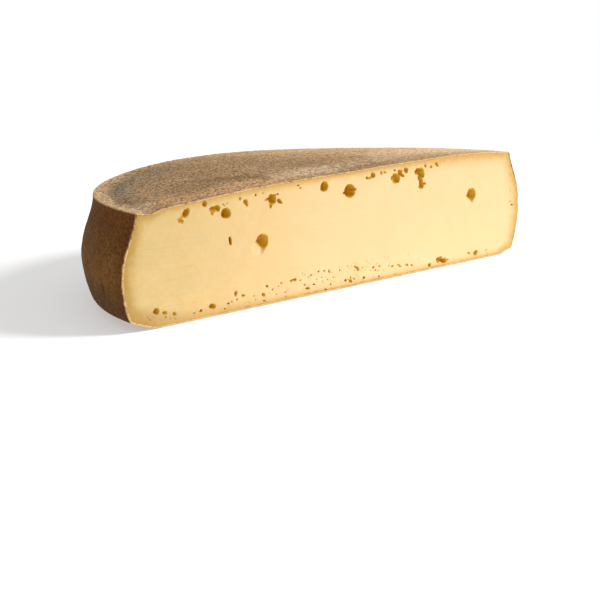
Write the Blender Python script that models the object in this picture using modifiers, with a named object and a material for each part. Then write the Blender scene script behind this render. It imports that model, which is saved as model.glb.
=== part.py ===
"""Half a wheel of raclette cheese, lying on its flat side with the cut towards -Y.

Metres, +Z up. The origin is on the flat underside, in the middle of the bounding box.
The whole wheel is turned from its profile, made a little uneven, and then cut. The eyes
that open at the cut face are ellipsoids taken out of it.
"""

import math
import random

import bmesh
import bpy
from mathutils import Matrix, Vector

MM = 0.001

# Driving dimensions of the whole wheel
BELLY_RADIUS = 161.0 * MM
BELLY_HEIGHT = 28.0 * MM
RIM_RADIUS = 150.0 * MM
RIM_HEIGHT = 65.5 * MM
DOME_HEIGHT = 4.5 * MM
DOME_POWER = 4.0
FOOT_RADIUS = 155.3 * MM
FOOT_LIFT = 4.5 * MM
FOOT_FLARE = 1.6
FLAT_RADIUS = 138.0 * MM
FLAT_CURL = 1.3

# The cut runs this far beside the wheel's middle, so the piece is a little less than half
CUT_OFFSET = 6.2 * MM
PIECE_DEPTH = BELLY_RADIUS - CUT_OFFSET
WHEEL_CENTRE_Y = -PIECE_DEPTH / 2 - CUT_OFFSET

# How fine the turned shape is
TURN_STEPS = 80
TOP_RINGS = 10
RIM_CROWDING = 1.7
SIDE_RINGS = 9
FOOT_RINGS = 4
MERGE_DISTANCE = 0.01 * MM
SHARP_ANGLE = math.radians(35)

# Unevenness of the aged wheel
TOP_TILT = 2.5 * MM
RIM_WAVE = 0.75 * MM
RIM_WAVES_ROUND = 4
RIM_WAVE_TURN = math.radians(12)
RIM_SAG = 0.25 * MM
TROUGH_DEPTH = 1.3 * MM
TROUGH_RADIUS = 140.0 * MM
TROUGH_WIDTH = 5.5 * MM
HOLLOW_DEPTH = 1.2 * MM
HOLLOW_RADIUS = 116.0 * MM
HOLLOW_WIDTH = 40.0 * MM
FOOT_TILT = 1.6 * MM
SIDE_FLUTE = 0.35 * MM
SIDE_FLUTES_ROUND = 9
SHOULDER_FILL = 3.2 * MM
SHOULDER_START = 33.0 * MM
END_FILL = 1.4 * MM
END_FILL_HEIGHT = 13.0 * MM
END_FILL_FALLOFF = 6
END_FILL_TOP = 72.0 * MM
BELLY_SLACK = 2.1 * MM
SLACK_TURN = math.radians(148)
SLACK_SPREAD = math.radians(22)
SLACK_TOP = 58.0 * MM
SLACK_FADE = 23.0 * MM
SLACK_FALLOFF = 4

# Eyes at the cut face: x, height, half width, half height in mm, and lean in degrees
LARGE_EYES = (
    (-65.5, 36.5, 4.3, 4.3, 0),
    (-69.3, 35.6, 3.2, 2.6, 20),
    (111.7, 43.5, 4.6, 4.1, -10),
    (3.1, 58.0, 4.3, 4.0, 0),
    (-0.9, 57.5, 1.8, 1.0, 15),
    (-17.6, 62.8, 3.1, 2.9, 0),
    (-90.9, 56.0, 3.0, 2.6, 0),
    (-57.8, 59.6, 3.1, 2.8, 0),
    (-60.5, 60.0, 1.8, 0.9, 10),
    (-52.5, 58.0, 2.0, 1.0, -40),
    (-118.1, 59.2, 2.5, 1.9, 20),
    (-121.3, 55.4, 2.0, 1.7, 0),
    (-99.3, 58.4, 1.9, 2.0, 0),
    (-96.6, 59.0, 1.7, 1.9, 0),
    (-105.3, 62.8, 1.4, 1.4, 0),
    (-76.7, 60.6, 1.5, 2.2, 25),
    (22.1, 65.2, 2.0, 1.9, 0),
    (17.7, 64.6, 1.7, 1.0, 0),
    (31.7, 65.4, 2.2, 1.0, 0),
    (41.3, 61.9, 2.8, 2.5, 0),
    (44.9, 60.8, 2.5, 2.1, 0),
    (46.3, 64.2, 2.0, 2.0, -30),
    (51.2, 65.2, 2.0, 1.6, 0),
    (61.3, 63.5, 2.5, 1.8, 0),
    (65.3, 62.6, 2.3, 2.6, 0),
    (64.7, 58.6, 1.8, 2.6, 10),
    (65.3, 54.7, 2.3, 2.2, 0),
    (78.3, 66.2, 1.7, 1.1, -30),
    (-87.9, 40.2, 0.9, 2.2, 0),
    (-139.3, 9.5, 1.6, 1.6, 0),
    (-133.7, 7.5, 1.2, 1.1, 0),
    (-101.6, 5.9, 2.3, 1.4, -10),
    (-84.9, 10.2, 1.1, 2.1, 0),
    (-42.3, 11.2, 2.3, 1.0, 5),
    (9.5, 10.4, 1.1, 1.9, 20),
    (3.9, 4.2, 1.1, 1.8, 0),
    (73.5, 3.1, 1.4, 1.3, 0),
    (82.6, 5.3, 2.4, 1.8, 0),
    (87.0, 3.8, 2.8, 1.4, -10),
    (117.9, 4.8, 2.3, 1.8, 0),
)
EYE_SEGMENTS = 10
EYE_RINGS = 6
EYE_DEPTH = 1.15
EYE_SINK = 0.35

# Small eyes: a band of them a little above the underside
SMALL_EYE_COUNT = 20
SMALL_EYE_SPAN = (-128.0, 112.0)
SMALL_EYE_HEIGHTS = (5.0, 12.5)
SMALL_EYE_SIZES = (0.8, 1.2)
SMALL_EYE_STRETCH = (0.8, 1.3)
SMALL_EYE_LEANS = (-40.0, 40.0)
SMALL_EYE_SEGMENTS = 6
SMALL_EYE_RINGS = 4
SMALL_EYE_SPACING = 3.4
SMALL_EYE_SEED = 11

CHEESE_COLOUR = (0.86, 0.66, 0.33, 1.0)
CHEESE_ROUGHNESS = 0.55


def clear_scene():
    """Remove every object of the scene."""
    for item in list(bpy.data.objects):
        bpy.data.objects.remove(item, do_unlink=True)


def new_collection(name):
    collection = bpy.data.collections.new(name)
    bpy.context.scene.collection.children.link(collection)
    return collection


def top_height(radius):
    """Height of the domed top at a distance from the wheel's axis."""
    return RIM_HEIGHT + DOME_HEIGHT * (1 - (radius / RIM_RADIUS) ** DOME_POWER)


def side_radius(height):
    """Radius of the bulging side at a height between foot and rim."""
    if height >= BELLY_HEIGHT:
        share = (height - BELLY_HEIGHT) / (RIM_HEIGHT - BELLY_HEIGHT)
        ease = share * share * (3 - 2 * share)
        return BELLY_RADIUS - (BELLY_RADIUS - RIM_RADIUS) * ease
    share = (BELLY_HEIGHT - height) / (BELLY_HEIGHT - FOOT_LIFT)
    return BELLY_RADIUS - (BELLY_RADIUS - FOOT_RADIUS) * share ** FOOT_FLARE


def foot_height(radius):
    """Height of the underside, flat in the middle and turned up towards the foot."""
    share = max(0.0, (radius - FLAT_RADIUS) / (FOOT_RADIUS - FLAT_RADIUS))
    return FOOT_LIFT * share ** FLAT_CURL


def wheel_profile():
    """Points (radius, height) from the top's middle, down the side, to the underside's middle."""
    points = []
    for ring in range(TOP_RINGS + 1):
        radius = RIM_RADIUS * (1 - (1 - ring / TOP_RINGS) ** RIM_CROWDING)
        points.append((radius, top_height(radius)))
    for ring in range(1, SIDE_RINGS + 1):
        height = RIM_HEIGHT + (FOOT_LIFT - RIM_HEIGHT) * ring / SIDE_RINGS
        points.append((side_radius(height), height))
    for ring in range(1, FOOT_RINGS + 1):
        radius = FOOT_RADIUS + (FLAT_RADIUS - FOOT_RADIUS) * ring / FOOT_RINGS
        points.append((radius, foot_height(radius)))
    points.append((0.0, 0.0))
    return points


def turned_wheel():
    """The whole wheel, turned about its axis by a Screw modifier and made a mesh."""
    outline = bmesh.new()
    corners = [outline.verts.new((radius, 0, height)) for radius, height in wheel_profile()]
    for first, second in zip(corners, corners[1:]):
        outline.edges.new((first, second))
    mesh = bpy.data.meshes.new("wheel_profile")
    outline.to_mesh(mesh)
    outline.free()
    profile = bpy.data.objects.new("wheel_profile", mesh)
    bpy.context.scene.collection.objects.link(profile)
    screw = profile.modifiers.new("turn", "SCREW")
    screw.steps = TURN_STEPS
    screw.render_steps = TURN_STEPS
    screw.use_merge_vertices = True
    screw.merge_threshold = MERGE_DISTANCE
    bpy.context.view_layer.update()
    evaluated = profile.evaluated_get(bpy.context.evaluated_depsgraph_get())
    wheel = bpy.data.meshes.new_from_object(evaluated)
    bpy.data.objects.remove(profile, do_unlink=True)
    return wheel


def rise(x, radius, angle, height):
    """How far the aged wheel's top, or its foot, has risen or sunk at a point."""
    outward = radius / RIM_RADIUS
    lift = TOP_TILT * x / RIM_RADIUS
    lift += RIM_WAVE * math.cos(RIM_WAVES_ROUND * angle + RIM_WAVE_TURN) * outward ** 2
    lift -= RIM_SAG * outward ** 2
    if radius < RIM_RADIUS - MM:
        trough = TROUGH_DEPTH * math.exp(-((radius - TROUGH_RADIUS) / TROUGH_WIDTH) ** 2)
        hollow = HOLLOW_DEPTH * math.exp(-((radius - HOLLOW_RADIUS) / HOLLOW_WIDTH) ** 2)
        lift -= (trough + hollow) * max(0.0, -math.cos(angle))
    lift *= (height / RIM_HEIGHT) ** 2
    if height < BELLY_HEIGHT and radius > FLAT_RADIUS:
        curl = min(1.0, (radius - FLAT_RADIUS) / (FOOT_RADIUS - FLAT_RADIUS)) ** FLAT_CURL
        lift -= FOOT_TILT * math.cos(angle) * curl * (1 - height / BELLY_HEIGHT)
    return lift


def spread(radius, angle, height):
    """How far the aged wheel's side stands out from the true turned one at a point."""
    share = min(1.0, height / RIM_HEIGHT)
    flute = SIDE_FLUTE * math.sin(SIDE_FLUTES_ROUND * angle) * math.sin(math.pi * share)
    fill = 0.0
    if SHOULDER_START < height < RIM_HEIGHT:
        rightness = max(0.0, math.cos(angle))
        up = (height - SHOULDER_START) / (RIM_HEIGHT - SHOULDER_START)
        fill = SHOULDER_FILL * rightness * math.sin(math.pi * up)
    away = 1 - math.exp(-((height - BELLY_HEIGHT) / END_FILL_HEIGHT) ** 2)
    away *= min(1.0, (END_FILL_TOP - height) / END_FILL_HEIGHT)
    fill += END_FILL * max(0.0, -math.cos(angle)) ** END_FILL_FALLOFF * away
    slack = BELLY_SLACK * math.exp(-((angle - SLACK_TURN) / SLACK_SPREAD) ** 2)
    slack *= min(1.0, (SLACK_TOP - height) / SLACK_FADE)
    return (flute + fill - slack) * (radius / BELLY_RADIUS) ** SLACK_FALLOFF


def uneven(point):
    """Move a point of the true turned wheel to where the aged wheel has it."""
    radius = math.hypot(point.x, point.y)
    if radius < MM:
        return point.copy()
    angle = math.atan2(point.y, point.x)
    lift = rise(point.x, radius, angle, point.z)
    scale = 1 + spread(radius, angle, point.z) / radius
    return Vector((point.x * scale, point.y * scale, point.z + lift))


def box_cutter(name, low, high, collection):
    """A closed box between two corners that the Boolean takes away."""
    shape = bmesh.new()
    size = Vector(high) - Vector(low)
    middle = (Vector(high) + Vector(low)) / 2
    matrix = Matrix.Translation(middle) @ Matrix.Diagonal((*size, 1.0))
    bmesh.ops.create_cube(shape, size=1.0, matrix=matrix)
    return cutter_from(name, shape, collection)


def cutter_from(name, shape, collection):
    mesh = bpy.data.meshes.new(name)
    shape.to_mesh(mesh)
    shape.free()
    cutter = bpy.data.objects.new(name, mesh)
    cutter.hide_render = True
    cutter.display_type = "WIRE"
    collection.objects.link(cutter)
    return cutter


def eye_cutter(name, eye, segments, rings, collection):
    """An ellipsoid a little behind the cut face, which opens there at the eye's half sizes."""
    x, height, half_width, half_height, lean = eye
    depth = EYE_DEPTH * (half_width + half_height) / 2
    widen = 1 / math.sqrt(1 - EYE_SINK ** 2)
    centre = Vector((x * MM, -PIECE_DEPTH / 2 + EYE_SINK * depth * MM, height * MM))
    scale = Matrix.Diagonal((half_width * widen * MM, depth * MM, half_height * widen * MM, 1.0))
    turn = Matrix.Rotation(math.radians(-lean), 4, "Y")
    shape = bmesh.new()
    bmesh.ops.create_uvsphere(
        shape, u_segments=segments, v_segments=rings, radius=1.0,
        matrix=Matrix.Translation(centre) @ turn @ scale,
    )
    return cutter_from(name, shape, collection)


def far_enough(x, height, taken):
    """Whether a small eye at this place keeps clear of those before it."""
    for other_x, other_height, half_width, _, _ in taken:
        gap = math.hypot(x - other_x, height - other_height)
        if gap < SMALL_EYE_SPACING + half_width:
            return False
    return True


def small_eyes():
    """Seeded small eyes in the band above the underside, clear of the large ones."""
    rule = random.Random(SMALL_EYE_SEED)
    taken = list(LARGE_EYES)
    found = []
    while len(found) < SMALL_EYE_COUNT:
        x = rule.uniform(*SMALL_EYE_SPAN)
        height = rule.triangular(*SMALL_EYE_HEIGHTS)
        size = rule.uniform(*SMALL_EYE_SIZES)
        stretch = rule.uniform(*SMALL_EYE_STRETCH)
        if far_enough(x, height, taken):
            lean = rule.uniform(*SMALL_EYE_LEANS)
            eye = (x, height, size * stretch, size / stretch, lean)
            found.append(eye)
            taken.append(eye)
    return found


def eye_cutters():
    """The collection of all eye cutters."""
    collection = new_collection("eye_cutters")
    for number, eye in enumerate(LARGE_EYES):
        eye_cutter(f"large_eye_{number}", eye, EYE_SEGMENTS, EYE_RINGS, collection)
    for number, eye in enumerate(small_eyes()):
        eye_cutter(f"small_eye_{number}", eye, SMALL_EYE_SEGMENTS, SMALL_EYE_RINGS, collection)
    return collection


def cheese_material():
    material = bpy.data.materials.new("cheese")
    material.use_nodes = True
    shader = material.node_tree.nodes["Principled BSDF"]
    shader.inputs["Base Color"].default_value = CHEESE_COLOUR
    shader.inputs["Roughness"].default_value = CHEESE_ROUGHNESS
    shader.inputs["Metallic"].default_value = 0.0
    return material


def cut(target, name, operand):
    """Take a cutter, or a collection of cutters, out of an object."""
    modifier = target.modifiers.new(name, "BOOLEAN")
    modifier.operation = "DIFFERENCE"
    modifier.solver = "EXACT"
    if isinstance(operand, bpy.types.Collection):
        modifier.operand_type = "COLLECTION"
        modifier.collection = operand
    else:
        modifier.object = operand


def half_wheel(collection, knife_collection):
    """The half wheel: turned, made uneven, cut through and opened by its eyes."""
    mesh = turned_wheel()
    mesh.name = "half_wheel"
    for vertex in mesh.vertices:
        vertex.co = uneven(vertex.co) + Vector((0, WHEEL_CENTRE_Y, 0))
    mesh.shade_smooth()
    mesh.set_sharp_from_angle(angle=SHARP_ANGLE)
    mesh.materials.append(cheese_material())
    wheel = bpy.data.objects.new("half_wheel", mesh)
    collection.objects.link(wheel)
    reach = 2 * BELLY_RADIUS
    low = (-reach, -PIECE_DEPTH / 2 - reach, -reach)
    high = (reach, -PIECE_DEPTH / 2, reach)
    cut(wheel, "cut_through", box_cutter("knife_cut", low, high, knife_collection))
    cut(wheel, "eyes", eye_cutters())
    return wheel


def main():
    clear_scene()
    cheese = new_collection("raclette_half_wheel")
    knife = new_collection("knife_cutters")
    half_wheel(cheese, knife)


main()
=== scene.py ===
"""The looks of half a wheel of raclette cheese: its paste, its rind, and a plain studio.

The paste is a closed body whose cut face holds the eyes. The rind is a closed skin round its
top, side and underside. Both are worked out from the sizes of the whole wheel.
"""

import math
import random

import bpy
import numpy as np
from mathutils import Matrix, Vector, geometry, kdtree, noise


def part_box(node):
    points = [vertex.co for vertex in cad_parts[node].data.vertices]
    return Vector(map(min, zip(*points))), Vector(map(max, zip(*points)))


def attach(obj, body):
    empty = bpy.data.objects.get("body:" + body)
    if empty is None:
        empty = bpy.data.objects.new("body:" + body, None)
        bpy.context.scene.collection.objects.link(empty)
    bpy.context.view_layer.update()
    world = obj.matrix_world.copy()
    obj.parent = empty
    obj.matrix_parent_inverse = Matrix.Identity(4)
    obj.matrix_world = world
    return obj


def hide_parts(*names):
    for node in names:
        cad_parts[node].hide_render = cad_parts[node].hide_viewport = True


bl_info = {
    "name": "Raclette half wheel",
    "version": (1, 0, 0),
    "blender": (4, 5, 0),
    "location": "View3D > Sidebar > Cheese",
    "description": "Makes a half wheel of raclette with its eyes, rind and a plain studio",
    "category": "Add Mesh",
}

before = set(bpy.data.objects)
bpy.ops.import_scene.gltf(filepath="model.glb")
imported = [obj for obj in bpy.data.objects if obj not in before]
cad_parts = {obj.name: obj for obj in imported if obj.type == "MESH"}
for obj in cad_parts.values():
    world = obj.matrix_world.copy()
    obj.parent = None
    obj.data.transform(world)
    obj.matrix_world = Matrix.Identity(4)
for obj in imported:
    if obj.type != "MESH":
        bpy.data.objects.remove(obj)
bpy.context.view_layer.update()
CAD_LOW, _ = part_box("half_wheel")

MM = 0.001

# The wheel's outline
DOME_POWER = 4.0
FOOT_FLARE = 1.6
FLAT_CURL = 1.3

# Unevenness of the aged wheel
RIM_WAVE = 0.75 * MM
RIM_WAVES_ROUND = 4
RIM_WAVE_TURN = math.radians(12)
RIM_SAG = 0.25 * MM
TROUGH_RADIUS = 140.0 * MM
TROUGH_WIDTH = 5.5 * MM
TROUGH_EDGE = 4.0 * MM
HOLLOW_DEPTH = 1.2 * MM
HOLLOW_RADIUS = 116.0 * MM
HOLLOW_WIDTH = 40.0 * MM
FOOT_TILT = 1.6 * MM
SIDE_FLUTE = 0.35 * MM
SIDE_FLUTES_ROUND = 9
SHOULDER_FILL = 3.2 * MM
SHOULDER_START = 33.0 * MM
END_FILL = 1.4 * MM
END_FILL_HEIGHT = 13.0 * MM
END_FILL_FALLOFF = 6
END_FILL_TOP = 72.0 * MM
BELLY_SLACK = 2.1 * MM
SLACK_TURN = math.radians(148)
SLACK_SPREAD = math.radians(22)
SLACK_TOP = 58.0 * MM
SLACK_FADE = 23.0 * MM
SLACK_FALLOFF = 4

# How fine the surfaces are
TOP_RINGS = 100
TOP_CROWDING = 1.25
SIDE_RINGS = 58
UNDER_RINGS = 40
UNDER_CROWDING = 1.5
RIM_REACH = 1.0 * MM
FOOT_REACH = 1.3 * MM
CORNER_STEPS = 7
FINE_COLUMNS = 340
COARSE_COLUMNS = 40
EDGE_DISTANCES = (0.0, 0.15, 0.4, 0.8, 1.4, 2.2)
CUT_STEPS = (0.02, 0.08, 0.2, 0.4, 0.7, 1.1, 1.6, 2.3, 3.2)

# The rind's rounded edge at the cut, how far the paste's face lies behind the cut, and how
# far the paste reaches into the rind
EDGE_ROUNDING = 0.32 * MM
FACE_RECESS = 0.18 * MM
FACE_OVERLAP = 0.1 * MM

# Round eyes at the cut face, and torn ones: x, height, half width, half height in mm, lean
# in degrees, depth as a share of the mean half size
ROUND_EYES = (
    (3.1, 58.0, 4.4, 4.2, 0, 1.5),
    (-17.6, 62.8, 3.2, 3.1, 0, 1.5),
    (-90.9, 56.0, 3.4, 3.1, 0, 1.5),
    (-139.3, 9.5, 1.9, 1.9, 0, 1.4),
    (-105.3, 62.8, 1.6, 1.7, 0, 1.2),
    (-101.6, 5.9, 2.4, 1.6, -10, 1.2),
)
TORN_EYES = (
    (-0.9, 57.5, 1.8, 1.0, 25, 1.1),
    (7.4, 58.3, 1.5, 0.9, 10, 1.1),
    (-57.4, 59.9, 3.1, 2.9, 0, 1.2),
    (-60.9, 60.3, 2.2, 0.9, 8, 1.0),
    (-56.9, 61.8, 2.4, 0.9, 8, 1.0),
    (-58.3, 57.2, 1.2, 2.3, -15, 1.0),
    (-51.9, 58.2, 2.5, 1.1, -40, 1.0),
    (-53.4, 62.3, 0.9, 0.8, 0, 1.0),
    (-118.0, 59.4, 2.7, 2.1, 38, 1.2),
    (-120.3, 57.9, 1.3, 1.0, 0, 1.2),
    (-121.7, 55.6, 2.1, 1.8, 0, 0.45),
    (-99.7, 59.2, 2.3, 1.9, 10, 1.2),
    (-96.6, 59.5, 1.9, 1.9, 0, 1.0),
    (-100.4, 57.2, 1.1, 1.3, 0, 0.7),
    (-76.9, 60.8, 1.5, 1.5, 0, 1.1),
    (-76.1, 59.5, 1.0, 1.7, 25, 1.0),
    (-80.7, 62.9, 0.7, 1.1, 0, 1.1),
    (22.3, 65.3, 1.8, 2.0, -12, 1.1),
    (19.6, 63.9, 1.9, 0.8, 8, 1.1),
    (17.3, 64.4, 1.3, 0.9, -20, 1.3),
    (29.4, 66.0, 0.9, 1.3, 0, 0.8),
    (32.4, 66.0, 1.4, 0.9, 0, 0.55),
    (42.1, 61.5, 4.0, 3.0, 0, 0.9),
    (39.8, 61.7, 1.9, 2.2, 0, 1.6),
    (43.4, 59.9, 2.2, 1.5, 0, 1.6),
    (46.2, 64.3, 2.0, 1.9, 40, 1.1),
    (48.2, 62.5, 1.6, 1.1, -35, 1.0),
    (44.6, 65.5, 1.2, 1.0, 0, 0.9),
    (51.0, 65.4, 2.1, 1.7, -15, 1.0),
    (61.6, 63.8, 3.1, 2.0, 0, 1.6),
    (64.6, 64.1, 2.6, 1.7, 0, 1.4),
    (64.9, 61.8, 2.9, 2.6, 0, 1.1),
    (63.7, 59.6, 2.1, 2.6, 25, 1.2),
    (64.7, 57.0, 1.8, 2.3, 0, 1.1),
    (65.0, 54.4, 2.3, 2.1, 0, 1.2),
    (67.8, 55.5, 1.7, 0.9, 15, 1.0),
    (68.4, 66.5, 0.8, 1.3, 0, 0.8),
    (73.7, 65.4, 1.1, 1.1, 0, 0.8),
    (78.3, 67.0, 1.2, 1.0, -25, 1.0),
    (79.3, 65.8, 1.1, 1.0, -30, 0.9),
    (-133.8, 7.8, 1.4, 1.2, 0, 1.0),
    (-127.4, 6.1, 1.3, 1.1, 0, 1.0),
    (-84.9, 10.4, 1.0, 1.7, 0, 1.3),
    (-79.6, 8.4, 1.3, 0.8, 10, 1.0),
    (-64.7, 6.4, 1.6, 1.0, -45, 1.0),
    (-43.7, 11.2, 1.2, 0.9, 0, 1.0),
    (-41.0, 11.4, 1.5, 1.0, 0, 1.1),
    (-31.0, 4.7, 1.8, 0.9, 0, 1.0),
    (3.9, 3.6, 1.3, 1.1, 0, 1.2),
    (3.8, 5.5, 0.6, 1.2, 0, 1.0),
    (7.9, 11.7, 1.5, 0.6, -15, 1.0),
    (9.9, 10.2, 0.9, 1.7, 15, 1.1),
    (45.3, 7.4, 1.2, 0.7, -10, 1.0),
    (46.7, 6.2, 1.1, 0.6, 0, 0.9),
    (52.9, 6.3, 1.3, 0.8, 10, 1.1),
    (73.5, 3.1, 1.4, 1.4, 0, 1.2),
    (81.6, 5.3, 1.9, 2.0, 0, 1.3),
    (84.0, 5.4, 1.9, 1.9, 0, 1.2),
    (87.1, 3.9, 2.8, 1.7, -8, 1.3),
    (90.7, 4.0, 1.1, 0.6, 0, 1.0),
    (111.4, 5.5, 1.4, 0.9, -20, 0.8),
    (117.7, 4.6, 2.0, 1.8, 0, 1.1),
    (119.3, 5.4, 1.2, 1.0, 0, 1.0),
)

# Eyes with a soft side: the same values, then how deep their painted shade is, and the
# direction in degrees and the reach in mm of the slope into them
SLOPED_EYES = (
    (-65.2, 37.0, 4.4, 4.4, 0, 1.0, 1.15, 230.0, 9.0),
    (112.4, 43.7, 4.3, 4.3, 0, 1.0, 1.05, 230.0, 7.4),
)

# The soft side: how it sets in round the eye, as cosines of the angle to its direction, how
# its painted shade fades out from the eye's middle in mm and round the eye, and its form
SLOPE_FACING = (0.35, 1.0)
SLOPE_SHADE = (0.0, 2.6)
SLOPE_SHADE_FACING = (0.0, 0.3)
SLOPE_RINGS = (1.42, 1.62, 1.85, 2.1, 2.4)
SLOPE_STEEPNESS = 1.0
SLOPE_BOTTOM = 1.2

# A narrow slit, given like the eyes, and darker inside with painted shade
SLIT_EYE = (-88.1, 40.6, 1.15, 2.5, 8, 2.4)
SLIT_SHADE = 3.4

# Pinholes seen one by one: x, height, half width, half height in mm
PINHOLES = (
    (-145.1, 7.0, 0.5, 0.4), (-143.5, 5.5, 0.5, 0.5), (-146.1, 4.8, 0.5, 0.3),
    (-142.3, 6.6, 0.3, 0.3), (-140.6, 3.6, 0.4, 0.3), (-133.3, 5.4, 0.6, 0.5),
    (-127.2, 3.4, 0.5, 0.4), (-130.3, 4.2, 0.5, 0.4), (-114.1, 4.3, 0.7, 0.5),
    (-109.5, 4.8, 1.1, 0.8), (-92.9, 3.0, 0.9, 0.5), (-90.3, 5.6, 1.0, 0.6),
    (-87.9, 6.2, 0.7, 0.4), (-84.0, 6.8, 0.6, 0.7), (-71.9, 6.8, 0.6, 0.4),
    (-70.9, 4.5, 0.5, 0.4), (-75.5, 3.7, 0.4, 0.3), (-64.1, 2.8, 1.1, 0.5),
    (-61.9, 10.9, 1.2, 0.6), (-58.0, 8.3, 0.9, 0.4), (-53.3, 9.5, 0.6, 0.4),
    (-51.3, 11.1, 0.8, 0.5), (-55.3, 5.2, 0.5, 0.4), (-48.3, 5.2, 0.7, 0.4),
    (-48.1, 2.7, 0.6, 0.5), (-36.7, 10.4, 0.8, 0.4), (-33.3, 7.1, 0.8, 0.5),
    (-25.9, 6.3, 1.2, 0.5), (-28.3, 12.1, 0.9, 0.5), (-30.3, 11.4, 0.6, 0.4),
    (-22.3, 13.4, 0.9, 0.6), (-17.7, 13.1, 1.0, 0.5), (-13.8, 12.2, 0.6, 1.2),
    (-15.0, 7.4, 0.6, 0.5), (-19.3, 7.1, 0.6, 0.4), (-10.3, 8.2, 0.8, 0.4),
    (-12.7, 4.2, 0.8, 0.5), (-16.3, 1.6, 1.2, 0.6), (-5.1, 11.6, 0.5, 0.7),
    (-0.3, 4.7, 1.1, 0.8), (7.1, 4.5, 0.8, 0.6), (13.7, 10.2, 0.6, 0.5),
    (15.2, 3.9, 1.2, 0.8), (23.1, 9.1, 1.1, 0.7), (24.9, 7.3, 0.5, 0.8),
    (28.4, 9.1, 0.9, 0.6), (28.1, 2.7, 0.9, 0.6), (36.8, 8.2, 0.7, 0.4),
    (39.8, 7.4, 1.1, 0.6), (41.8, 1.6, 0.5, 0.7), (57.3, 5.5, 1.3, 0.4),
    (128.5, 5.2, 0.9, 0.5), (129.3, 3.0, 0.5, 0.4), (-92.6, 61.2, 0.6, 0.5),
    (-91.8, 60.4, 0.5, 0.4), (-89.9, 61.3, 0.4, 0.5), (-69.5, 63.6, 0.8, 0.7),
    (-64.2, 64.1, 0.5, 0.5), (-37.8, 65.6, 1.0, 0.5), (-36.3, 64.0, 0.6, 0.7),
    (40.9, 66.5, 1.1, 0.5), (68.5, 66.4, 0.9, 0.7), (61.5, 51.4, 0.4, 0.4),
    (59.9, 52.6, 0.3, 0.3), (151.7, 42.2, 0.6, 0.4), (151.9, 34.9, 0.7, 0.5),
    (153.9, 32.4, 1.1, 0.7),
)
PINHOLE_DEPTH = 1.1
# How deep the pinholes' painted shade is, as for the slit
PINHOLE_SHADE = 2.3
PINHOLE_LEAN = 30

# Shallow dishes where the paste has given way beside an eye: x, height, half sizes, lean,
# depth in mm, and how softly they take the eye's painted shade away
DISHES = (
    (-117.8, 56.8, 2.6, 1.6, 20, 0.3),
    (0.1, 54.8, 4.4, 2.4, 20, 0.45),
    (62.9, 52.8, 3.2, 2.0, 30, 0.4),
    (-84.9, 39.8, 3.4, 3.8, 0, 0.35),
    (43.5, 63.8, 2.0, 1.4, 30, 0.5),
)
DISH_SOFTNESS = 1.2

# Tiny pinholes by rule, thickest in the middle of the band above the underside
TINY_COUNT = 70
TINY_SPAN = (-66.0, 66.0)
TINY_MIDDLE = -5.0
TINY_HEIGHTS = (3.5, 14.5)
TINY_SIZES = (0.22, 0.5)
TINY_STRETCH = (0.75, 1.5)
TINY_LEAN = 40
TINY_SEED = 7

# Points round an eye: rings as shares of its outline, fewer in a small one, how far apart
# they are in mm, and how few and how many a ring has
EYE_RINGS = (1.25, 1.08, 1.0, 0.985, 0.95, 0.9, 0.82, 0.72, 0.58, 0.42, 0.22)
PIN_RINGS = (1.3, 1.0, 0.9, 0.65, 0.35)
SMALL_EYE = 0.75
EYE_POINT_SPACING = 0.42
EYE_POINT_LIMITS = (8, 60)
RING_TURN = 5

# The form of an eye's bowl, how far round it is worked out, how its painted shade turns deeper
# to the upper left and paler to the lower right, and how uneven its outline is
EYE_STEEPNESS = 2.6
EYE_BOTTOM = 0.6
EYE_REACH = 1.6
EYE_TURN = 0.6
ROUND_WOBBLE = 0.025
TORN_WOBBLE = 0.085
PIN_WOBBLE = 0.12
WOBBLE_TURNS = (2, 3, 5, 7)
WOBBLE_SEED = 3

# Points of the cut face in mm: lines that follow its outline at these gaps, a loose grid in
# the middle, and how close points may come to each other
OUTLINE_GAPS = (0.35, 0.8, 1.4, 2.2, 3.2, 4.6, 6.4, 8.6)
OUTLINE_STEP = 0.1
GAP_KEPT = 0.9
ROW_SPACING = 0.6
ROW_GAP_LIMIT = 1.2
BACKGROUND_SPACING = 2.3
BACKGROUND_SHIFT = 0.3
BACKGROUND_SEED = 3
EYE_TO_OUTLINE = 0.3
POINT_TO_POINT = 0.09
ROW_TO_EYE = 0.35
BACKGROUND_TO_ROW = 1.1
MERGE_DISTANCE = 1e-5

# The darker band under the rind: its width in mm, wider from one x to another on the right
# and at both ends, and how sharply it ends
BAND_WIDTH_TOP = 3.0
BAND_WIDTH_RIGHT = 5.2
BAND_WIDTH_UNDER = 1.7
BAND_WIDTH_SIDE = 6.5
BAND_TO_RIGHT = (30, 100)
BAND_TO_END = (138, 152)
BAND_SHARPNESS = 1.4

# Slow waves of the cut face, with lengths along and up in mm, and how all fades at its edge
FACE_WAVE = 0.14 * MM
FACE_WAVE_LENGTHS = (45, 14)
FACE_WAVE_FADE = 4
FACE_WAVE_SEED = 5
FACE_FADE = 0.5

# Relief of the rind in mm: how far apart the seeds' noises lie, how far it is sunk, and for
# each layer the wavelength in metres, flattening, octaves, seed, depth on the side and what
# is added on top
NOISE_STEPS = (7.3, 3.1, 5.7)
RELIEF_SUNK = 0.40
RELIEF_LAYERS = (
    (0.028, 1.0, 2, 1, 0.12, 0.0),
    (0.0042, 1.4, 3, 2, 0.07, 0.06),
    (0.0018, 1.0, 2, 4, 0.04, 0.03),
)

# Where along the outline, in metres, the relief weakens towards the underside, and how much
UNDER_START = 0.0625
UNDER_END = 0.0645
UNDER_SHARE = 0.5
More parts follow.
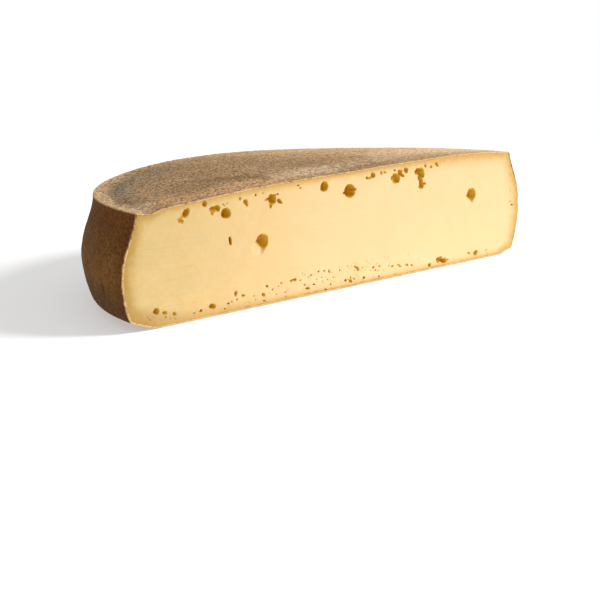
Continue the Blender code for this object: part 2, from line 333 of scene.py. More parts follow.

# Nicks and dark spots in the side, painted dark partly as shade in their dents: angle about
# the wheel's axis, height, half width, half height and depth in mm
SIDE_NICKS = (
    (169.5, 20.0, 1.3, 3.9, 0.5),
    (160.5, 37.0, 1.4, 1.4, 0.3),
    (160.0, 30.5, 1.3, 1.2, 0.25),
)
NICK_RADIUS = 160
NICK_REACH_IN = 6.0

# Paste colour: from left to right along x, sizes of its patterns in mm, and shares, which
# are either plain or (change over a mask, start)
# The paste turns darker to the left, partly its own tone and partly painted shade where the key
# light falls off
PASTE_TO_RIGHT = (-170.0, 20.0)
PASTE_LEFT_END = (-155.0, -115.0)
BROAD_SIZE = 42.0
BROAD_SHARE = 0.2
BLOTCH_SIZE = 9.0
BLOTCH_SHARE = 0.16
KNIFE_LENGTHS = (70.0, 40.0, 0.9)
KNIFE_TURN = (0, math.radians(3), 0)
KNIFE_SHARE = (-0.55, 0.67)
CRUMB_SIZE = 2.6
CRUMB_SHARE = (-0.08, 0.12)
LOW_RISE = 8.0
LOW_RANGE = (16.0, 8.5)
LOW_SHARE = (-0.75, 0.98)
RAGGED_SIZE = 3.2
RAGGED_BAND = (0.35, 0.75)
BAND_RANGE = (0.0, 0.95)

# Painted pinholes, dark specks of painted shade with a slight sunk bump: spacing and size,
# the height of their crowd, and where it thins out
SPECK_SPACING = 5.5
SPECK_SIZE = 0.32
SPECK_MIDDLE = 8.5
SPECK_HEIGHTS = (8.0, 4.0)
SPECK_SPAN = (78.0, 55.0)

# Painted shade in the eyes: how uneven it is, and how deep in an eye each of its colours comes
UNEVEN_SIZE = 1.8
UNEVEN_EYE = (0.5, 0.75)
EYE_WALL_RANGE = (0.0, 0.12)
EYE_BOTTOM_RANGE = (0.3, 0.9)
EYE_DARK_RANGE = (0.95, 1.8)

# Paste surface
PASTE_GRAIN_SIZE = 1.1
KNIFE_RELIEF = 0.5
HOLE_RELIEF = 3.0
PASTE_ROUGHNESS = (0.1, 0.42)
PASTE_BUMP = 0.5
PASTE_BUMP_DEPTH = 0.1 * MM

# Marks on the top: name of the colour, centre x and y in mm, half length, half width, turn
# in degrees, share, ragged edge
TOP_MARKS = (
    ("rind_side_dark", -57.0, -40.0, 28.0, 9.0, -42.0, 0.36, 0.7),
    ("rind_side_dark", -47.0, -57.0, 12.0, 5.0, 62.0, 0.3, 0.6),
    ("rind_powder", -12.0, -58.0, 36.0, 14.0, 5.0, 0.85, 0.6),
    ("rind_powder", 60.0, -52.0, 50.0, 11.0, 5.0, 0.55, 0.7),
    ("rind_blush", -85.0, -67.0, 70.0, 15.0, 0.0, 0.5, 0.5),
    ("rind_powder", -139.0, -61.0, 17.0, 12.0, 20.0, 0.6, 0.5),
    # The grey marks follow the hollow inside the left rim and are in part painted shade of it
    ("rind_grey", -121.0, -20.0, 24.0, 11.0, 58.0, 0.58, 0.8),
    ("rind_grey", -100.0, 5.0, 26.0, 11.0, 42.0, 0.62, 0.8),
    ("rind_grey", -66.0, 27.0, 28.0, 9.0, 27.0, 0.5, 0.8),
    ("rind_orange", -14.0, 44.0, 14.0, 9.0, 60.0, 0.3, 0.6),
    ("rind_orange", 34.0, 55.0, 24.0, 6.0, 50.0, 0.35, 0.6),
    ("rind_tan", 110.0, -42.0, 52.0, 26.0, -12.0, 0.8, 0.4),
)
MARK_HEIGHT = 68.0
MARK_REACH_UP = 30.0

# Rind colour on the top: patterns, the tan far side, the tinges and the wide pale lip, in part a
# painted highlight
RIND_BLOTCH_SIZE = 9.0
TOP_BROAD_SIZE = 36.0
TOP_DARK_SHARE = 0.35
TAN_LEAN = 0.8
TAN_RANGE = (-30.0, 125.0)
TAN_SHARE = 0.9
RED_SIZE = 13.0
RED_SHARE = 0.22
GREEN_SIZE = 21.0
GREEN_RANGE = (0.55, 0.95)
GREEN_SHARE = 0.2
# The pale lip, in part a painted highlight on the raised rim: how ragged, where across the rim,
# and stronger to the left
LIP_RAGGED = 6.0
LIP_RANGE = (-7.5, -1.5)
LIP_TO_LEFT = (-30.0, -120.0)
LIP_SHARE = (0.4, 0.35)

# Rind colour on the side: streaks, then ranges from the cut and up the side in mm, the
# tints there, the one below being painted shade towards the bottom, and the nicks' edges
UPRIGHT_LENGTHS = (5.0, 5.0, 24.0)
UPRIGHT_SHARE = (0.38, 0.13)
SIDE_BLOTCH_SHARE = (0.24, 0.05)
CUT_DARK_RANGE = (13.0, 1.0)
CUT_DARK_SHARE = 0.6
CUT_TINT_RANGE = (10.0, 1.0)
UPPER_RANGE = (40.0, 58.0)
UPPER_DARK_SHARE = 0.6
# The range below and the tint below paint shade towards the bottom of the side
SHADE_BELOW_HEIGHTS = (32.0, 10.0)
SIDE_TINT_CUT = (1.0, 0.86, 0.5)
SIDE_TINT_ABOVE = (1.0, 0.87, 0.64)
SIDE_SHADE_BELOW = (0.56, 0.54, 0.56)
NICK_WIDER = 1.1
NICK_HIGHER = 1.2
NICK_RAGGED = 0.2
NICK_GRAIN = 2.0
NICK_SHARE = 0.9

# The rind's grain in light and dark
ON_SIDE_RANGE = (0.3, 1.3)
SUEDE_SIZE = 1.5
SUEDE_RANGE = (0.38, 0.60)
PEBBLE_SIZE = 3.4
PEBBLE_RANGE = (0.36, 0.62)
PEBBLE_SHARE = 0.3
TONE_MIDDLE = 0.65
TONE_TO_RIGHT = (-60.0, 120.0)
TONE_STRENGTH = (-0.45, 1.1)
TONE_ON_SIDE = (-0.5, 1.0)

# Pale worn rim and cut edge: ranges across them in mm, and how strong and wide they are
WORN_SIZE = 2.6
WORN_RANGE = (0.15, 0.6)
RIM_EDGE_ABOVE = (-1.8, -0.6)
RIM_EDGE_BELOW = (1.1, 0.5)
RIM_EDGE_SHARE = (0.55, 0.2)
EDGE_UPPER_RANGE = (40.0, 56.0)
EDGE_UPPER_WEAKER = 0.25
EDGE_LOWER_WIDER = 0.35
EDGE_LOWER_STRONGER = 0.3
EDGE_REACH = (0.55, 0.15)
EDGE_RANGE = (1.3, 0.5)
EDGE_SHARE = (0.5, 0.3)
FOOT_EDGE_RANGE = (1.1, 0.5)
FOOT_EDGE_HEIGHTS = (8.0, 4.0)
FOOT_EDGE_SHARE = 0.85

# Rind surface
PEBBLE_RELIEF = 2.0
RIND_ROUGHNESS = (0.12, 0.76)
RIND_BUMP = 0.9
RIND_BUMP_DEPTH = 0.5 * MM

# Node groups: how rough their noise is, and the ranges that become 0 to 1
MOTTLE_ROUGHNESS = 0.55
MOTTLE_RANGE = (0.28, 0.72)
STREAK_ROUGHNESS = 0.6
STREAK_RANGE = (0.25, 0.75)
PATCH_ROUGHNESS = 0.6
PATCH_RAGGED_REACH = 4.0
PATCH_RANGE = (1.25, 0.35)
GRAIN_ROUGHNESS = 0.65
GRAIN_OF_CELLS = 0.25
SPECK_RANGE = (1.0, 0.5)

# Nodes are laid out in rows of this many, this far apart
NODE_ROW = 12
NODE_STEP = 180
NODE_DROP = 260

# Studio
FLOOR_RADIUS = 3.0
FLOOR_SIDES = 96
FLOOR_GAP = 0.0002
FLOOR_FADE_START = 0.25
FLOOR_FADE_END = 0.75
FLOOR_GLOW = 0.42
FLOOR_MOTTLE_SCALE = 3.0
FLOOR_MOTTLE = (0.02, 0.99)
KEY_PLACE = (1.10, -1.10, 1.17)
KEY_SIZE = 0.66
KEY_COLOUR = (1.0, 0.98, 0.95)
LIGHT_TARGET = Vector((0.0, 0.0, 0.04))


def length_value(name, description, default):
    """A length in metres that a user may change."""
    return bpy.props.FloatProperty(
        name=name, description=description, default=default, unit="LENGTH")


def colour_value(name, description, default):
    """A colour that a user may change."""
    return bpy.props.FloatVectorProperty(
        name=name, description=description, default=default, size=3, min=0, max=1,
        subtype="COLOR")


class WheelSizes(bpy.types.PropertyGroup):
    """Sizes of the whole wheel that the half is cut from."""

    belly_radius: length_value("Belly radius", "Widest radius of the bulging side", 0.1610)
    belly_height: length_value("Belly height", "Height at which the side is widest", 0.028)
    rim_radius: length_value("Rim radius", "Radius of the top rim", 0.150)
    rim_height: length_value("Rim height", "Mean height of the top rim", 0.0655)
    dome_height: length_value("Dome height", "Rise of the top's middle over the rim", 0.0045)
    foot_radius: length_value("Foot radius", "Radius of the lower corner", 0.1553)
    foot_lift: length_value("Foot lift", "Height of the lower corner over the table", 0.0045)
    flat_radius: length_value("Flat radius", "Radius of the flat part of the underside", 0.138)
    cut_offset: length_value(
        "Cut offset", "How far the cut runs beside the wheel's middle", 0.0062)
    top_tilt: length_value(
        "Top tilt", "How much higher the right end's rim is than the middle's", 0.0025)
    trough_depth: length_value("Trough depth", "Depth of the hollow inside the left rim", 0.0013)
    rind_thickness: length_value("Rind thickness", "Thickness of the dry skin", 0.0012)


class CheeseColours(bpy.types.PropertyGroup):
    """Colours of the paste and the rind."""

    # The left colour is darker than the right one, partly the paste's own tone and partly painted
    # shade where the light falls off to the left
    paste_left: colour_value(
        "Paste, left", "Colour of the cut paste at the left end", (0.585, 0.445, 0.185))
    paste_right: colour_value(
        "Paste, right", "Colour of the cut paste at the right end", (0.845, 0.59, 0.315))
    paste_shade: colour_value(
        "Paste, shade", "Deeper tone of the paste's blotches and streaks", (0.76, 0.49, 0.18))
    paste_light: colour_value(
        "Paste, light", "Paler tone of the paste's blotches", (0.90, 0.70, 0.38))
    paste_foot: colour_value(
        "Paste, foot", "Pinkish tan of the paste just above the underside", (0.52, 0.335, 0.13))
    under_rind: colour_value(
        "Under the rind", "Colour of the drier paste just under the rind", (0.61, 0.37, 0.092))
    under_rind_left: colour_value(
        "Under the rind, left", "The same at the left end", (0.47, 0.28, 0.052))
    # The three eye colours are painted shade: an eye is the paste itself, darkened and turned
    # ochre where shade falls inside it
    eye_wall_shade: colour_value(
        "Eye wall", "Colour of an eye's wall near the cut", (0.71, 0.435, 0.012))
    eye_bottom_shade: colour_value("Eye bottom", "Colour deep inside an eye", (0.57, 0.26, 0.001))
    eye_deep_shade: colour_value(
        "Eye, dark", "Colour in the depth of a narrow slit", (0.22, 0.115, 0.006))
    rind_top: colour_value("Rind, top", "Grey-brown of the top", (0.33, 0.203, 0.093))
    rind_top_pale: colour_value("Rind, pale", "Paler parts of the top", (0.46, 0.302, 0.165))
    # Grey-green, in part painted shade of the hollow inside the left rim
    rind_grey: colour_value("Rind, grey", "Grey-green parts of the top", (0.27, 0.23, 0.165))
    rind_tan: colour_value("Rind, tan", "Tan parts of the top", (0.86, 0.59, 0.34))
    rind_powder: colour_value(
        "Rind, powdery", "Pale powdery parts of the top", (0.64, 0.465, 0.305))
    rind_red: colour_value(
        "Rind, reddish", "Reddish tinge in patches of the top", (0.46, 0.25, 0.15))
    rind_blush: colour_value(
        "Rind, blush", "Pale reddish parts of the top beside the cut", (0.69, 0.40, 0.19))
    rind_green: colour_value(
        "Rind, greenish", "Greenish tinge in patches of the top", (0.34, 0.27, 0.12))
    rind_orange: colour_value("Rind, orange", "Orange-brown parts of the rind", (0.42, 0.20, 0.06))
    # The pale lip is in part a painted highlight on the raised rim, strongest on the left
    rind_lip: colour_value("Rind, lip", "Paler worn lip of the rim", (0.58, 0.395, 0.225))
    rind_side: colour_value("Rind, side", "Brown of the side", (0.235, 0.104, 0.018))
    rind_side_dark: colour_value("Rind, dark", "Darker parts of the side", (0.15, 0.056, 0.009))
    # The nicks' colour is partly painted shade in their dents and partly dark spots
    rind_nick: colour_value(
        "Rind, nicks", "Dark inside of nicks and spots in the side", (0.045, 0.02, 0.006))
    rind_edge: colour_value(
        "Rind, cut edge", "Pale edge of the rind where it is cut", (0.75, 0.495, 0.235))


class StudioSetup(bpy.types.PropertyGroup):
    """The plain floor, the soft light and the camera."""

    floor_colour: colour_value("Floor", "Colour of the floor", (0.95, 0.95, 0.95))
    key_power: bpy.props.FloatProperty(
        name="Key light", description="Power of the main light in watts", default=35.5)
    ambient: bpy.props.FloatProperty(
        name="Ambient", description="Strength of the light from all round", default=0.33)
    camera_place: bpy.props.FloatVectorProperty(
        name="Camera place", description="Where the camera stands",
        default=(-0.5399, -0.6328, 0.1787), size=3, subtype="TRANSLATION")
    camera_heading: bpy.props.FloatProperty(
        name="Heading", description="How far the camera looks to the right of +Y",
        default=math.radians(42.15), subtype="ANGLE")
    camera_dip: bpy.props.FloatProperty(
        name="Dip", description="How far the camera looks down",
        default=math.radians(13.50), subtype="ANGLE")
    camera_roll: bpy.props.FloatProperty(
        name="Roll", description="Turn of the camera about its line of sight",
        default=math.radians(-0.38), subtype="ANGLE")
    camera_lens: bpy.props.FloatProperty(
        name="Lens", description="Focal length in millimetres", default=79.9)


def top_height(sizes, radius):
    """Height of the domed top at a distance from the wheel's axis."""
    return sizes.rim_height + sizes.dome_height * (1 - (radius / sizes.rim_radius) ** DOME_POWER)


def side_radius(sizes, height):
    """Radius of the bulging side at a height between foot and rim."""
    up = np.clip((height - sizes.belly_height) / (sizes.rim_height - sizes.belly_height), 0, 1)
    down = np.clip((sizes.belly_height - height) / (sizes.belly_height - sizes.foot_lift), 0, 1)
    upper = (sizes.belly_radius - sizes.rim_radius) * up * up * (3 - 2 * up)
    lower = (sizes.belly_radius - sizes.foot_radius) * down ** FOOT_FLARE
    return sizes.belly_radius - upper - lower


def foot_height(sizes, radius):
    """Height of the underside, flat in the middle and turned up towards the foot."""
    share = np.clip((radius - sizes.flat_radius) / (sizes.foot_radius - sizes.flat_radius), 0, 1)
    return sizes.foot_lift * share ** FLAT_CURL


def round_corner(before, after, reach):
    """The two lines without what is near their shared corner, and the curve between them."""
    corner = before[-1]
    before = before[np.linalg.norm(before - corner, axis=1) > reach]
    after = after[np.linalg.norm(after - corner, axis=1) > reach]
    back = before[-1] - corner
    ahead = after[0] - corner
    start = corner + back * reach / np.linalg.norm(back)
    end = corner + ahead * reach / np.linalg.norm(ahead)
    t = np.linspace(0, 1, CORNER_STEPS)[:, None]
    curve = (1 - t) ** 2 * start + 2 * t * (1 - t) * corner + t ** 2 * end
    return before, curve, after


def crowded(inner, outer, count, crowding):
    """Radii from the cut out to a corner, close together beside the cut and at the corner."""
    share = np.linspace(0, 1, count)
    radius = inner + (outer - inner) * (1 - (1 - share) ** crowding)
    beside = inner + np.array(CUT_STEPS) * MM
    return np.concatenate([radius[:1], beside, radius[radius > beside[-1] + MM]])


def wheel_outline(sizes, inner):
    """The outline (radius, height) from the top to the underside, and the way along it.

    The way is 0 at the rim, below 0 on the top, and grows down the side.
    """
    radius = crowded(inner, sizes.rim_radius, TOP_RINGS, TOP_CROWDING)
    top = np.column_stack([radius, top_height(sizes, radius)])
    height = np.linspace(sizes.rim_height, sizes.foot_lift, SIDE_RINGS)
    side = np.column_stack([side_radius(sizes, height), height])
    radius = crowded(inner, sizes.foot_radius, UNDER_RINGS, UNDER_CROWDING)[::-1]
    under = np.column_stack([radius, foot_height(sizes, radius)])
    top, rim, side = round_corner(top, side, RIM_REACH)
    side, foot, under = round_corner(side, under, FOOT_REACH)
    line = np.vstack([top, rim, side, foot, under])
    steps = np.linalg.norm(np.diff(line, axis=0), axis=1)
    way = np.concatenate([[0.0], np.cumsum(steps)])
    return line[:, 0], line[:, 1], way - way[len(top) + CORNER_STEPS // 2]


def rise(sizes, x, radius, angle, height):
    """How far the aged wheel's top, or its foot, has risen or sunk."""
    outward = radius / sizes.rim_radius
    lift = sizes.top_tilt * x / sizes.rim_radius
    lift = lift + RIM_WAVE * np.cos(RIM_WAVES_ROUND * angle + RIM_WAVE_TURN) * outward ** 2
    lift = lift - RIM_SAG * outward ** 2
    inside = np.clip((sizes.rim_radius - radius) / TROUGH_EDGE, 0, 1)
    leftness = np.maximum(0, -np.cos(angle))
    trough = sizes.trough_depth * np.exp(-((radius - TROUGH_RADIUS) / TROUGH_WIDTH) ** 2)
    hollow = HOLLOW_DEPTH * np.exp(-((radius - HOLLOW_RADIUS) / HOLLOW_WIDTH) ** 2)
    lift = (lift - (trough + hollow) * leftness * inside) * (height / sizes.rim_height) ** 2
    low = np.clip(1 - height / sizes.belly_height, 0, 1)
    curl = np.clip((radius - sizes.flat_radius) / (sizes.foot_radius - sizes.flat_radius), 0, 1)
    return lift - FOOT_TILT * np.cos(angle) * curl ** FLAT_CURL * low


def spread(sizes, radius, angle, height):
    """How far the aged wheel's side stands out from the true turned one."""
    share = np.clip(height / sizes.rim_height, 0, 1)
    flute = SIDE_FLUTE * np.sin(SIDE_FLUTES_ROUND * angle) * np.sin(math.pi * share)
    up = np.clip((height - SHOULDER_START) / (sizes.rim_height - SHOULDER_START), 0, 1)
    fill = SHOULDER_FILL * np.maximum(0, np.cos(angle)) * np.sin(math.pi * up)
    away = 1 - np.exp(-((height - sizes.belly_height) / END_FILL_HEIGHT) ** 2)
    away = away * np.minimum(1, (END_FILL_TOP - height) / END_FILL_HEIGHT)
    fill = fill + END_FILL * np.maximum(0, -np.cos(angle)) ** END_FILL_FALLOFF * away
    slack = BELLY_SLACK * np.exp(-((angle - SLACK_TURN) / SLACK_SPREAD) ** 2)
    slack = slack * np.minimum(1, (SLACK_TOP - height) / SLACK_FADE)
    return (flute + fill - slack) * (radius / sizes.belly_radius) ** SLACK_FALLOFF


def fine_shares(sizes):
    """Places along a ring's arc from 0 to 1, close together beside the cut."""
    edge = np.array(EDGE_DISTANCES) * MM / (math.pi * sizes.rim_radius)
    middle = np.linspace(edge[-1], 1 - edge[-1], FINE_COLUMNS)
    return np.concatenate([edge[:-1], middle, 1 - edge[-2::-1]])


def wheel_grid(sizes, shares, recess):
    """Points of the aged wheel behind a plane that lies recess behind the cut.

    There is one row for each ring of the outline, from the middle of the top to the middle of
    the underside. The angle of each point and the way of each row come with them.
    """
    inner = sizes.cut_offset + recess
    ring_radius, ring_height, way = wheel_outline(sizes, inner)
    start = np.arcsin(np.clip(inner / ring_radius, -1, 1))
    angle = start[:, None] + (math.pi - 2 * start)[:, None] * shares
    radius = np.repeat(ring_radius[:, None], len(shares), axis=1)
    height = np.repeat(ring_height[:, None], len(shares), axis=1)
    wide = radius + spread(sizes, radius, angle, height)
    x = wide * np.cos(angle)
    y = wide * np.sin(angle) - sizes.cut_offset + CAD_LOW.y
    y[:, [0, -1]] = CAD_LOW.y + recess
    z = height + rise(sizes, x, radius, angle, height)
    return np.stack([x, y, z], axis=-1), angle, way


def grid_normals(points):
    """Outward directions of the wheel's grid."""
    down = np.gradient(points, axis=0)
    across = np.gradient(points, axis=1)
    normal = np.cross(down, across)
    length = np.linalg.norm(normal, axis=-1, keepdims=True)
    normal = normal / np.maximum(length, 1e-15)
    normal[0] = (0, 0, 1)
    normal[-1] = (0, 0, -1)
    return normal


def inset_grid(sizes, inset, recess):
    """A coarse grid of the wheel moved inward by inset, its edges on the recessed plane."""
    points, _, _ = wheel_grid(sizes, np.linspace(0, 1, COARSE_COLUMNS), recess)
    plane = points[0, 0, 1]
    moved = points - grid_normals(points) * inset
    moved[:, [0, -1], 1] = plane
    moved[[0, -1], :, 1] = plane
    return moved


def grid_indices(rows, columns, first):
    """Vertex numbers of a grid whose first and last rows are single points."""
    index = np.arange(rows * columns).reshape(rows, columns) - (columns - 1) + first
    index[0] = first
    index[-1] = first + (rows - 2) * columns + 1
    return index


def grid_points(grid):
    """A grid's points or values in the order of grid_indices."""
    middle = grid[1:-1].reshape(-1, *grid.shape[2:])
    return np.concatenate([grid[0, :1], middle, grid[-1, :1]])


def grid_faces(index, outward):
    """Faces of a grid: triangles round its two end points, and quads between."""
    faces = []
    rows, columns = index.shape
    for i in range(rows - 1):
        for j in range(columns - 1):
            face = [index[i, j], index[i + 1, j], index[i + 1, j + 1], index[i, j + 1]]
            if i == 0:
                face = face[:3]
            elif i == rows - 2:
                face = [face[0], face[1], face[3]]
            faces.append(face if outward else face[::-1])
    return faces


def noise_values(points, wavelength, octaves, seed):
    """Smooth noise of about -1 to 1 at each point."""
    offset = Vector([seed * step for step in NOISE_STEPS])
    scale = 1 / wavelength
    return np.array([
        noise.fractal(Vector(point) * scale + offset, 1.0, 2.0, octaves) for point in points
    ])


def wobble(phase, share, angle):
    """How the outline of an eye departs from an ellipse, as a factor of its radius."""
    factor = np.ones_like(angle)
    for turns, start in zip(WOBBLE_TURNS, phase):
        factor += share * np.cos(turns * angle + start) / math.sqrt(turns - 1)
    return factor


def share_between(value, start, end):
    """Goes evenly from 0 at start to 1 at end."""
    return np.clip((value - start) / (end - start), 0, 1)


def ramp(value, start, end):
    """Goes smoothly from 0 at start to 1 at end."""
    share = share_between(value, start, end)
    return share * share * (3 - 2 * share)


def bowl_at(x, height, half_width, half_height, lean):
    """An even bowl in the cut face, with no slope."""
    return {
        "x": x, "height": height, "half_width": half_width, "half_height": half_height,
        "lean": math.radians(lean), "phase": (0,) * len(WOBBLE_TURNS), "irregular": 0,
        "slope_turn": 0, "slope_reach": 0,
    }


def all_eyes():
    """Every eye as a dictionary in mm, the tiny ones by a seeded rule."""
    eyes = []

    def add(rule, row, depth, irregular, shade=1.0, slope_turn=0, slope_reach=0):
        eye = bowl_at(*row)
        eye["phase"] = [rule.uniform(0, 2 * math.pi) for _ in WOBBLE_TURNS]
        eye["irregular"] = irregular
        eye["depth"] = depth * (eye["half_width"] + eye["half_height"]) / 2
        eye["shade"] = shade
        eye["slope_turn"] = math.radians(slope_turn)
        eye["slope_reach"] = slope_reach
        eyes.append(eye)

    rule = random.Random(WOBBLE_SEED)
    for *row, depth in ROUND_EYES:
        add(rule, row, depth, ROUND_WOBBLE)
    for *row, depth in TORN_EYES:
        add(rule, row, depth, TORN_WOBBLE)
    for *row, depth, shade, slope_turn, slope_reach in SLOPED_EYES:
        add(rule, row, depth, ROUND_WOBBLE, shade, slope_turn, slope_reach)
    *row, depth = SLIT_EYE
    add(rule, row, depth, ROUND_WOBBLE, SLIT_SHADE)
    for row in PINHOLES:
        row = (*row, rule.uniform(-PINHOLE_LEAN, PINHOLE_LEAN))
        add(rule, row, PINHOLE_DEPTH, PIN_WOBBLE, PINHOLE_SHADE)
    rule = random.Random(TINY_SEED)
    for _ in range(TINY_COUNT):
        x = rule.triangular(*TINY_SPAN, TINY_MIDDLE)
        size = rule.uniform(*TINY_SIZES)
        stretch = rule.uniform(*TINY_STRETCH)
        height = rule.uniform(*TINY_HEIGHTS)
        row = (x, height, size * stretch, size / stretch, rule.uniform(-TINY_LEAN, TINY_LEAN))
        add(rule, row, PINHOLE_DEPTH, PIN_WOBBLE)
    return eyes


EYES = all_eyes()


def eye_share(eye, x, height):
    """How far from an eye's middle a point is: 0 there, 1 at its outline."""
    across = x - eye["x"]
    up = height - eye["height"]
    c, s = math.cos(eye["lean"]), math.sin(eye["lean"])
    u = (across * c + up * s) / eye["half_width"]
    v = (up * c - across * s) / eye["half_height"]
    return np.hypot(u, v) / wobble(eye["phase"], eye["irregular"], np.arctan2(v, u))


def eye_points(eye):
    """Points on rings in and just round an eye, closest together at its wall."""
    size = (eye["half_width"] + eye["half_height"]) / 2
    c, s = math.cos(eye["lean"]), math.sin(eye["lean"])
    points = [(eye["x"], eye["height"])]
    rings = EYE_RINGS if size > SMALL_EYE else PIN_RINGS
    for ring in (*SLOPE_RINGS, *rings) if eye["slope_reach"] else rings:
        count = int(np.clip(2 * math.pi * size * ring / EYE_POINT_SPACING, *EYE_POINT_LIMITS))
        angle = np.linspace(0, 2 * math.pi, count, endpoint=False) + ring * RING_TURN
        reach = ring * wobble(eye["phase"], eye["irregular"], angle)
        u = eye["half_width"] * reach * np.cos(angle)
        v = eye["half_height"] * reach * np.sin(angle)
        points.extend(zip(eye["x"] + u * c - v * s, eye["height"] + u * s + v * c))
    return points


def soft_side(eye, x, height):
    """How much each point lies on an eye's soft side, and how far from its middle in mm."""
    across = x - eye["x"]
    up = height - eye["height"]
    away = np.hypot(across, up)
    along = across * math.cos(eye["slope_turn"]) + up * math.sin(eye["slope_turn"])
    return ramp(along / np.maximum(away, 0.01), *SLOPE_FACING), away


def eye_depth(eye, x, height):
    """Depth of one eye in mm at each point, and how deep its painted shade is.

    The painted shade is deeper towards the upper left of an eye, paler towards the lower right,
    and fades on a soft side.
    """
    share = eye_share(eye, x, height)
    soft, fade = 0, 1
    if eye["slope_reach"]:
        soft, away = soft_side(eye, x, height)
        share = share * (1 - soft) + away / eye["slope_reach"] * soft
        fade = 1 - ramp(soft, *SLOPE_SHADE_FACING) * ramp(away, *SLOPE_SHADE)
    steepness = EYE_STEEPNESS + (SLOPE_STEEPNESS - EYE_STEEPNESS) * soft
    bottom = EYE_BOTTOM + (SLOPE_BOTTOM - EYE_BOTTOM) * soft
    bowl = np.clip(1 - share ** steepness, 0, 1) ** bottom
    along = (x - eye["x"]) - (height - eye["height"])
    turned = EYE_TURN * along / (eye["half_width"] + eye["half_height"])
    return eye["depth"] * bowl, bowl * (eye["shade"] - turned) * fade


def face_depth(eyes, x, height):
    """Depth of the eyes and dishes in mm at each point, and how deep the eyes' painted shade is.
    """
    depth = np.zeros_like(x)
    inside = np.zeros_like(x)
    for eye in eyes:
        reach = max(EYE_REACH * max(eye["half_width"], eye["half_height"]), eye["slope_reach"])
        near = np.where((abs(x - eye["x"]) < reach) & (abs(height - eye["height"]) < reach))[0]
        if len(near) == 0:
            continue
        deep, shade = eye_depth(eye, x[near], height[near])
        depth[near] = np.maximum(depth[near], deep)
        inside[near] = np.maximum(inside[near], shade)
    for *row, deep in DISHES:
        share = np.clip(eye_share(bowl_at(*row), x, height), 0, 1)
        slope = deep * (1 - share ** 2) ** 2
        inside = inside * np.clip((depth - slope) / DISH_SOFTNESS + 0.5, 0, 1)
        depth = np.maximum(depth, slope)
    return depth, inside


def outline_loop(grid):
    """The cut face's outline (x, height) in mm, round from the top's middle."""
    right = grid[:, 0]
    left = grid[1:-1, -1][::-1]
    return np.vstack([right, left])[:, [0, 2]] / MM


def gap_finder(loop):
    """A search tree of the outline, close enough together to measure gaps to it."""
    closed = np.vstack([loop, loop[:1]])
    dense = []
    for first, second in zip(closed, closed[1:]):
        count = max(1, int(np.linalg.norm(second - first) / OUTLINE_STEP))
        for step in range(count):
            dense.append(first + (second - first) * step / count)
    tree = kdtree.KDTree(len(dense))
    for number, point in enumerate(dense):
        tree.insert((point[0], 0, point[1]), number)
    tree.balance()
    return tree


def gaps_to(tree, points):
    """How far each point is from the outline, in mm."""
    return np.array([tree.find((x, 0, height))[2] for x, height in points])


def loop_insets(loop):
    """Points on lines that follow the outline at set gaps inside it."""
    along = np.roll(loop, -1, axis=0) - np.roll(loop, 1, axis=0)
    inward = np.column_stack([along[:, 1], -along[:, 0]])
    inward /= np.linalg.norm(inward, axis=1, keepdims=True)
    centre = loop.mean(axis=0)
    if np.sum((centre - loop) * inward) < 0:
        inward = -inward
    return [(loop + inward * gap, gap) for gap in OUTLINE_GAPS]


def spaced_background(low, high):
    """A loose triangular grid of points over the face."""
    rule = random.Random(BACKGROUND_SEED)
    points = []
    row = 0
    height = low[1]
    while height < high[1]:
        x = low[0] + (BACKGROUND_SPACING / 2 if row % 2 else 0)
        while x < high[0]:
            points.append((x + rule.uniform(-BACKGROUND_SHIFT, BACKGROUND_SHIFT),
                           height + rule.uniform(-BACKGROUND_SHIFT, BACKGROUND_SHIFT)))
            x += BACKGROUND_SPACING
        height += BACKGROUND_SPACING * math.sqrt(3) / 2
        row += 1
    return np.array(points)


def clear_of(points, others, distance):
    """Those points that keep at least a distance from the others."""
    tree = kdtree.KDTree(len(others))
    for number, (x, height) in enumerate(others):
        tree.insert((x, 0, height), number)
    tree.balance()
    keep = [tree.find((x, 0, height))[2] > distance for x, height in points]
    return points[np.array(keep)]


def thinned(points, distance):
    """The points without those that come too close to an earlier one."""
    cells = {}
    kept = []
    for x, height in points:
        cell = (int(x // distance), int(height // distance))
        around = [cells.get((cell[0] + i, cell[1] + j)) for i in (-1, 0, 1) for j in (-1, 0, 1)]
        if all(p is None or math.hypot(x - p[0], height - p[1]) > distance for p in around):
            cells[cell] = (x, height)
            kept.append((x, height))
    return np.array(kept)


def face_points(loop, eyes):
    """All points inside the cut face from which it is triangulated."""
    tree = gap_finder(loop)
    rows = np.vstack([np.array(eye_points(eye)) for eye in eyes])
    rows = thinned(rows[gaps_to(tree, rows) > EYE_TO_OUTLINE], POINT_TO_POINT)
    for inset, gap in loop_insets(loop):
        inset = inset[gaps_to(tree, inset) > GAP_KEPT * gap]
        inset = thinned(inset, ROW_SPACING * min(gap, ROW_GAP_LIMIT))
        rows = np.vstack([rows, clear_of(inset, rows, ROW_TO_EYE)])
    background = spaced_background(loop.min(axis=0), loop.max(axis=0))
    inner = point_inside(background, loop) & (gaps_to(tree, background) > OUTLINE_GAPS[-1])
    background = clear_of(background[inner], rows, BACKGROUND_TO_ROW)
    rows = np.vstack([rows, background])
    return rows[point_inside(rows, loop)], tree


def point_inside(points, loop):
    """Whether each point is inside the closed loop."""
    inside = np.zeros(len(points), dtype=bool)
    x, height = points[:, 0], points[:, 1]
    for (x1, h1), (x2, h2) in zip(loop, np.roll(loop, -1, axis=0)):
        if h1 == h2:
            continue
        crosses = (h1 > height) != (h2 > height)
        at = x1 + (height - h1) * (x2 - x1) / (h2 - h1)
        inside ^= crosses & (x < at)
    return inside


def band_width(x, height, sizes):
    """Width in mm of the darker band under the rind, wider at the two ends."""
    end = share_between(abs(x), *BAND_TO_END)
    right = share_between(x, *BAND_TO_RIGHT)
    upper = height > sizes.belly_height / MM
    top = BAND_WIDTH_TOP + (BAND_WIDTH_RIGHT - BAND_WIDTH_TOP) * right
    flat = np.where(upper, top, BAND_WIDTH_UNDER)
    return flat + (BAND_WIDTH_SIDE - flat) * end


